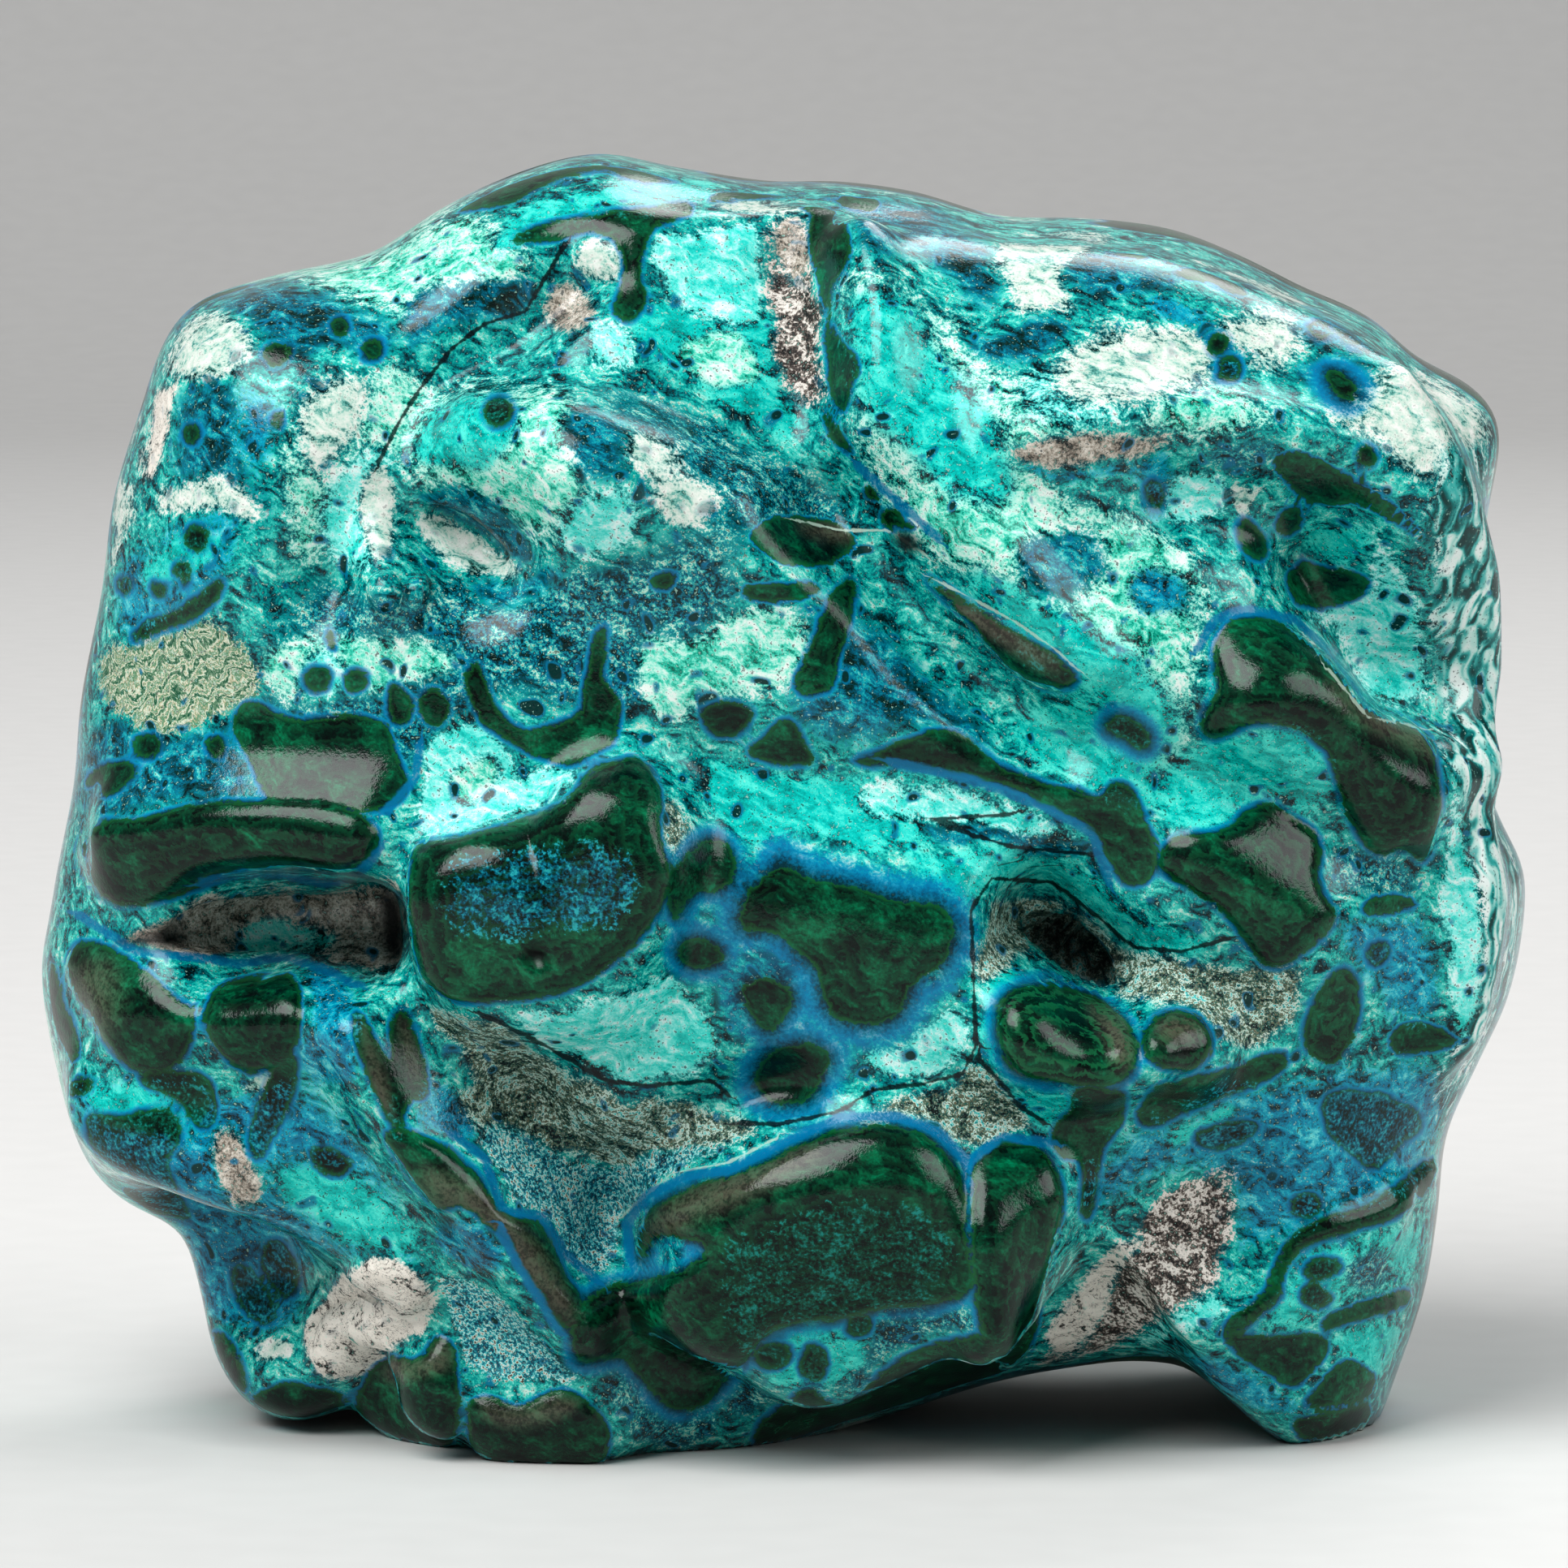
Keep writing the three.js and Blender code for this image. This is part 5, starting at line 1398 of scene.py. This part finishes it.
def stone_patterns(graph):
    """Patterns that run through the stone, all from its own coordinates."""
    place = graph.scaled(graph.add("ShaderNodeTexCoord").outputs["Object"], 1000.0)
    shift = graph.scaled(graph.noise(place, WANDER_SCALE, 0.0)["Color"], WANDER_REACH)
    bent = graph.joined("ADD", place, shift)
    drift = graph.noise(place, DRIFT_SCALE, 1.0)["Fac"]
    flow = graph.joined("MULTIPLY", graph.turned(bent, FLOW_TURN), FLOW_STRETCH)
    clouds = graph.noise(flow, 1.0, 4.0, 0.64)["Fac"]
    fine = graph.noise(place, FINE_SCALE, 2.0, 0.6)["Fac"]
    tall = graph.joined("MULTIPLY", bent, STREAK_STRETCH)
    slanted = graph.split(graph.turned(bent, STRIPE_TURN))[2]
    bands = graph.plus(graph.times(slanted, STRIPE_RATE), graph.times(clouds, STRIPE_BEND))
    stripes = graph.math("SINE", bands)
    cells = graph.add("ShaderNodeTexVoronoi", {"Vector": bent, "Scale": CELL_SCALE}).outputs
    return {
        "clouds": clouds,
        "drift": drift,
        "fine": fine,
        "cells": cells,
        "mottle": graph.blend((clouds, 0.6), (drift, 0.12), (fine, 0.28)),
        "speckle": graph.blend((clouds, 0.5), (fine, 0.5)),
        "salt": graph.blend((clouds, 0.35), (fine, 0.65)),
        "streaks": graph.noise(tall, 1.0, 1.0, 0.6)["Fac"],
        "stripes": graph.plus(graph.blend((stripes, 0.12), (fine, 0.3)), 0.35),
    }


def ground_colour(graph, patterns, weights, push):
    """The grounds over one another, with small eyes, specks and the flaws of the quartz."""
    gentle = graph.times(push, SOFT_SHARE)
    colour = None
    for kind, (pattern, stops) in GROUND_LOOKS.items():
        tint = graph.ramp(patterns[pattern], stops)
        if colour is None:
            colour = tint
        else:
            share = graph.torn(weights[kind], gentle if kind in SOFT_EDGED else push)
            colour = graph.mix(share, colour, tint)

    # Small eyes: a dark green middle in a blue ring, in some of the cells.
    draw = graph.add("ShaderNodeSeparateColor", {"Color": patterns["cells"]["Color"]}).outputs
    calm = graph.plus(graph.plus(weights["quartz"], weights["cream"]), weights["matrix"], clamp=True)
    chosen = graph.times(graph.math("LESS_THAN", draw[1], EYE_CELLS), graph.minus(1.0, calm))
    size = graph.plus(patterns["cells"]["Distance"], graph.times(draw[0], 0.25))
    ring = graph.times(graph.ease(size, 0.34, 0.5, 0.85, 0.0), chosen)
    middle = graph.times(graph.ease(size, 0.26, 0.34, 0.95, 0.0), chosen)
    colour = graph.mix(middle, graph.mix(ring, colour, linear(*EYE_RING)), linear(*EYE_MIDDLE))

    fine = patterns["fine"]
    specks = graph.times(graph.ease(fine, 0.6, 0.68), graph.minus(0.75, graph.times(calm, 0.45)))
    colour = graph.mix(specks, colour, linear(*DARK_SPECK))
    colour = graph.mix(graph.ease(fine, 0.38, 0.3, 0.0, 0.5), colour, linear(*LIGHT_SPECK))
    cracks = graph.math("ABSOLUTE", graph.minus(patterns["clouds"], 0.5))
    flaws = graph.times(graph.ease(cracks, 0.0, 0.011, 0.9, 0.0), weights["quartz"])
    return graph.mix(flaws, colour, linear(*QUARTZ_FLAW))


def malachite_over(graph, patterns, weights, push, colour, look):
    """The malachite with its halo, rim, growth rings, granular fields and a brown-grey painted sheen, which is a
    painted reflection.
    """
    clouds, drift, fine, speckle = (patterns[name] for name in ("clouds", "drift", "fine", "speckle"))
    depth, halo, bands = graph.split(graph.named("malachite")["Vector"])
    frayed = graph.plus(graph.times(clouds, 1.3), graph.times(fine, 0.6))
    depth = graph.plus(depth, graph.minus(frayed, 0.95))
    outward = graph.math("DIVIDE", graph.times(depth, -1.0), halo)
    outward = graph.plus(outward, graph.times(graph.minus(speckle, 0.5), 1.6))
    halo_tint = graph.ramp(outward, HALO_STOPS)
    near = graph.ease(outward, 0.35, 1.15, look.halo_strength, 0.0)
    patchy = graph.ease(graph.plus(drift, graph.times(halo, 0.06)), 0.38, 0.56, 0.4, 1.0)
    colour = graph.mix(graph.times(near, patchy), colour, halo_tint)

    rings = graph.math("SINE", graph.plus(graph.times(depth, RING_RATE), graph.times(clouds, RING_BEND)))
    rings = graph.times(graph.ease(rings, 0.0, 0.9), bands)
    body = graph.ramp(graph.blend((clouds, 0.5), (drift, 0.3), (fine, 0.2)), BODY_STOPS)
    for kind, stops in (("blue", BLUE_FIELD_STOPS), ("cyan", GREEN_FIELD_STOPS)):
        field = graph.ramp(speckle, stops)
        body = graph.mix(graph.torn(weights[kind], push), body, field)
    body = graph.mix(graph.times(rings, RING_STRENGTH), body, linear(*GROWTH_RING))
    body = graph.mix(graph.ease(depth, 0.05, 0.4, 0.6, 0.0), body, (*look.rim_colour,))
    colour = graph.mix(graph.ease(depth, -0.03, 0.07), colour, body)
    # Painted reflection: a brown-grey sheen painted over the malachite where the lights would reflect.
    painted_sheen = graph.times(weights["painted_sheen"], graph.ease(depth, 0.0, 0.3))
    return graph.mix(graph.times(painted_sheen, graph.ease(speckle, 0.4, 0.56, 0.2, 0.55)), colour, linear(*PAINTED_SHEEN_COLOUR))


def lines_over(graph, patterns, colour):
    """The fine dark lines, the pale lines of painted highlight and the blue lines."""
    offsets = graph.split(graph.named("line_offset")["Vector"])
    nearness = graph.split(graph.named("line_near")["Vector"])
    for offset, near, (tint, width, most) in zip(offsets, nearness, LINE_LOOKS):
        ragged = graph.times(graph.minus(patterns["clouds"], 0.42), 0.7)
        away = graph.plus(graph.math("ABSOLUTE", offset), ragged)
        drawn = graph.times(graph.ease(away, width, width * 2.0, most, 0.0), near)
        colour = graph.mix(drawn, colour, linear(*tint))
    return colour


def polished_stone(look):
    """The stone's material: grounds, malachite, lines, painted highlights, a painted sheen and painted shade in the
    holes, from numbers stored on the surface.
    """
    material = bpy.data.materials.new("Polished chrysocolla and malachite")
    material.use_nodes = True
    tree = material.node_tree
    tree.nodes.clear()
    graph = Graph(tree)
    patterns = stone_patterns(graph)
    weights = {}
    for number, name in enumerate(STORES):
        weights.update(zip(KINDS[4 * number:], graph.parts(name)))
    push = graph.times(graph.minus(patterns["speckle"], 0.5), EDGE_PUSH)
    colour = ground_colour(graph, patterns, weights, push)
    colour = malachite_over(graph, patterns, weights, push, colour, look)
    colour = lines_over(graph, patterns, colour)
    # Painted shade: the holes are painted black.
    colour = graph.mix(graph.times(weights["painted_hole_shade"], 0.96), colour, linear(*HOLE_SHADE_COLOUR))

    rough_ground = graph.plus(graph.plus(weights["grain"], weights["matrix"]), weights["frost"], clamp=True)
    roughness = graph.plus(look.polish_roughness, graph.times(rough_ground, 0.25))
    roughness = graph.plus(roughness, graph.times(weights["painted_hole_shade"], 0.5))
    relief = graph.plus(graph.times(rough_ground, 0.5), 0.06)
    bump = {"Strength": relief, "Distance": BUMP_DISTANCE, "Height": patterns["fine"]}
    bump = graph.add("ShaderNodeBump", bump).outputs[0]
    inputs = {"Base Color": colour, "Roughness": roughness, "Normal": bump}
    shader = graph.add("ShaderNodeBsdfPrincipled", inputs)
    shader.inputs["Specular IOR Level"].default_value = 0.3
    output = graph.add("ShaderNodeOutputMaterial")
    tree.links.new(shader.outputs[0], output.inputs[0])
    return material


def plain_material(name, colour, roughness):
    """A matt paper-like material with a faint grain."""
    material = bpy.data.materials.new(name)
    material.use_nodes = True
    tree = material.node_tree
    graph = Graph(tree)
    shader = next(node for node in tree.nodes if node.type == "BSDF_PRINCIPLED")
    place = graph.add("ShaderNodeTexCoord").outputs["Object"]
    grain = graph.noise(place, 220.0, 0.0)["Fac"]
    darker = tuple(part * 0.96 for part in colour)
    tree.links.new(graph.mix(grain, darker, tuple(colour)), shader.inputs["Base Color"])
    shader.inputs["Roughness"].default_value = roughness
    return material


def store(mesh, name, kind, values):
    """Keeps numbers on the points of a mesh."""
    field = {"FLOAT_VECTOR": "vector", "FLOAT_COLOR": "color"}[kind]
    attribute = mesh.attributes.new(name, kind, "POINT")
    attribute.data.foreach_set(field, np.asarray(values, np.float32).ravel())


def stone_surface():
    """The stone's points in millimetres, its faces and where its middle has to be moved."""
    ways, faces = sphere_grid()
    share = np.minimum(1.0, np.hypot(ways[:, 0], ways[:, 2])) ** (2.0 / ROUNDNESS)
    points = boulder_points(np.arctan2(ways[:, 2], ways[:, 0]), share, ways[:, 1] < 0.0)
    points = ground_feet(stepped(carved(points, faces), faces))
    centre, size = stone_box()
    middle = (points.min(axis=0) + points.max(axis=0)) / 2.0
    move = np.array((centre[0] * 1000.0 - middle[0], centre[1] * 1000.0 - middle[1], 0.0))
    return points, faces, move


def stone_box():
    """Centre and size of the stone's box, in metres."""
    low, high = (np.array(corner, float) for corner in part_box("stone"))
    return (low + high) / 2.0, high - low


# ---------------------------------------------------------------- the add-on
class SpecimenLook(bpy.types.PropertyGroup):
    """Colours and finish of the stone and the strength of the studio's lights."""

    halo_strength: bpy.props.FloatProperty(
        name="Halo Strength", description="How strongly blue runs round each patch of malachite",
        default=0.92, min=0.0, max=1.0, subtype="FACTOR",
    )
    rim_colour: bpy.props.FloatVectorProperty(
        name="Rim Colour", description="The light green rim just inside each patch of malachite",
        default=linear(22, 96, 50), min=0.0, max=1.0, subtype="COLOR",
    )
    polish_roughness: bpy.props.FloatProperty(
        name="Polish", description="Roughness of the polished surface, less is glossier",
        default=0.15, min=0.05, max=1.0, subtype="FACTOR",
    )
    floor_colour: bpy.props.FloatVectorProperty(
        name="Floor Colour", description="The plain floor and the wall that it curves up into",
        default=linear(206, 205, 203), min=0.0, max=1.0, subtype="COLOR",
    )
    key_power: bpy.props.FloatProperty(
        name="Key Light", description="Power of the large soft light above the left of the camera",
        default=27.0, min=0.0, unit="POWER",
    )
    fill_power: bpy.props.FloatProperty(
        name="Fill Light", description="Power of the soft light at the right", default=6.0, min=0.0, unit="POWER",
    )
    sky_strength: bpy.props.FloatProperty(
        name="Room Light", description="Strength of the even light of the room", default=0.22, min=0.0, max=4.0,
    )


def placed(name, mesh_or_light):
    """A new object of the scene."""
    made = bpy.data.objects.new(name, mesh_or_light)
    bpy.context.scene.collection.objects.link(made)
    return made


class SPECIMEN_OT_stone(bpy.types.Operator):
    """Build the polished boulder"""

    bl_idname = "specimen.stone"
    bl_label = "Build Stone"

    def execute(self, context):
        points, faces, move = stone_surface()
        normals = surface_normals(points, faces)
        turned = turned_to_view(points, normals)
        places = on_map(points)
        shown_depth, halo, bands = show_malachite(places, points)
        hidden_depth = side_malachite(points, normals, turned)
        depth = np.maximum(shown_depth - FAR * (1.0 - turned), hidden_depth - FAR * turned)
        halo = halo * turned + 1.3 * (1.0 - turned)
        bands = bands * turned + 0.3 * (1.0 - turned)
        ground = ground_weights(places, points, turned)
        # The pale lines are painted highlights.
        drawn = [line_offsets(places, lines) for lines in (DARK_LINES, PAINTED_HIGHLIGHT_LINES, BLUE_LINES)]

        mesh = bpy.data.meshes.new("Chrysocolla boulder")
        mesh.vertices.add(len(points))
        mesh.vertices.foreach_set("co", ((points + move) / 1000.0).astype(np.float32).ravel())
        mesh.loops.add(faces.size)
        mesh.loops.foreach_set("vertex_index", faces.astype(np.int32).ravel())
        mesh.polygons.add(len(faces))
        mesh.polygons.foreach_set("loop_start", np.arange(0, faces.size, 4, dtype=np.int32))
        mesh.update(calc_edges=True)
        mesh.polygons.foreach_set("use_smooth", np.ones(len(faces), bool))
        store(mesh, "malachite", "FLOAT_VECTOR", np.stack((depth, halo, bands), axis=-1))
        kinds = [ground[kind] for kind in KINDS]
        for number, name in enumerate(STORES):
            store(mesh, name, "FLOAT_COLOR", np.stack(kinds[4 * number:4 * number + 4], axis=-1))
        store(mesh, "line_offset", "FLOAT_VECTOR", np.stack([offset for offset, _ in drawn], axis=-1))
        store(mesh, "line_near", "FLOAT_VECTOR", np.stack([near * turned for _, near in drawn], axis=-1))
        mesh.validate()

        stone = placed("chrysocolla_boulder", mesh)
        mesh.materials.append(polished_stone(context.scene.specimen_look))
        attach(stone, "root")
        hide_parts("stone")
        return {"FINISHED"}


class SPECIMEN_OT_studio(bpy.types.Operator):
    """Build the floor, the lights and the camera"""

    bl_idname = "specimen.studio"
    bl_label = "Build Studio"

    def execute(self, context):
        look = context.scene.specimen_look
        self.floor(look)
        self.lights(look)
        self.camera(context)
        context.scene.view_settings.view_transform = "Standard"
        context.scene.view_settings.look = "Medium High Contrast"
        return {"FINISHED"}

    def floor(self, look):
        """A floor that curves up into a wall behind the stone."""
        half_width, front, back, bend, top = 3.0, -3.0, 1.2, 0.6, 2.4
        profile = [(front, 0.0)]
        for step in range(17):
            turn = math.radians(90.0 * step / 16)
            profile.append((back + bend * math.sin(turn), bend * (1.0 - math.cos(turn))))
        profile.append((back + bend, top))
        points = [(side * half_width, y, z) for y, z in profile for side in (-1, 1)]
        faces = [(2 * i, 2 * i + 1, 2 * i + 3, 2 * i + 2) for i in range(len(profile) - 1)]
        mesh = bpy.data.meshes.new("Studio floor")
        mesh.from_pydata(points, [], faces)
        mesh.polygons.foreach_set("use_smooth", np.ones(len(faces), bool))
        mesh.materials.append(plain_material("Pale paper", look.floor_colour, 0.75))
        floor = placed("studio_floor", mesh)

    def lights(self, look):
        """Three soft panels and an even room."""
        panels = [
            ("Key panel", look.key_power, 1.1, (-0.6, -0.75, 1.2)),
            ("Fill panel", look.fill_power, 0.7, (1.1, -0.35, 0.6)),
            ("Back panel", look.fill_power * 0.7, 0.6, (0.35, 0.8, 0.9)),
        ]
        for name, power, size, spot in panels:
            light = bpy.data.lights.new(name, "AREA")
            light.energy = power
            light.shape = "SQUARE"
            light.size = size
            panel = placed(name, light)
            panel.location = spot
            aim = Vector((0.0, 0.0, 0.05)) - Vector(spot)
            panel.rotation_euler = aim.to_track_quat("-Z", "Y").to_euler()
        world = bpy.data.worlds.new("Room")
        world.use_nodes = True
        background = next(node for node in world.node_tree.nodes if node.type == "BACKGROUND")
        background.inputs["Color"].default_value = (0.93, 0.96, 1.0, 1.0)
        background.inputs["Strength"].default_value = look.sky_strength
        bpy.context.scene.world = world

    def camera(self, context):
        """The camera in front of the show face, looking a little down."""
        centre, _ = stone_box()
        aim = Vector((centre[0], centre[1], MAP_HEIGHT / 1000.0))
        back = Vector((0.0, -math.cos(VIEW_TILT), math.sin(VIEW_TILT)))
        lens = bpy.data.cameras.new("Camera")
        lens.sensor_width = 36.0
        lens.lens = 36.0 * VIEW_DISTANCE / (2.0 * MAP_MIDDLE * MAP_STEP)
        lens.clip_start, lens.clip_end = 0.01, 20.0
        camera = placed("Camera", lens)
        camera.location = aim + back * (VIEW_DISTANCE / 1000.0)
        camera.rotation_euler = (-back).to_track_quat("-Z", "Y").to_euler()
        context.scene.camera = camera


class SPECIMEN_PT_panel(bpy.types.Panel):
    """Buttons and settings of the specimen"""

    bl_label = "Chrysocolla Specimen"
    bl_idname = "SPECIMEN_PT_panel"
    bl_space_type = "VIEW_3D"
    bl_region_type = "UI"
    bl_category = "Specimen"

    def draw(self, context):
        look = context.scene.specimen_look
        column = self.layout.column()
        for setting in SpecimenLook.__annotations__:
            column.prop(look, setting)
        column.separator()
        for operator in OPERATORS:
            column.operator(operator.bl_idname)


OPERATORS = (SPECIMEN_OT_stone, SPECIMEN_OT_studio)
CLASSES = (SpecimenLook, *OPERATORS, SPECIMEN_PT_panel)


def register():
    """Adds the settings, the operators and the panel."""
    for cls in CLASSES:
        bpy.utils.register_class(cls)
    bpy.types.Scene.specimen_look = bpy.props.PointerProperty(type=SpecimenLook)


def unregister():
    """Takes away what register added."""
    del bpy.types.Scene.specimen_look
    for cls in reversed(CLASSES):
        bpy.utils.unregister_class(cls)


def main():
    """Builds the specimen and its studio."""
    register()
    bpy.ops.specimen.stone()
    bpy.ops.specimen.studio()
    bpy.context.view_layer.update()


if __name__ == "__main__":
    main()
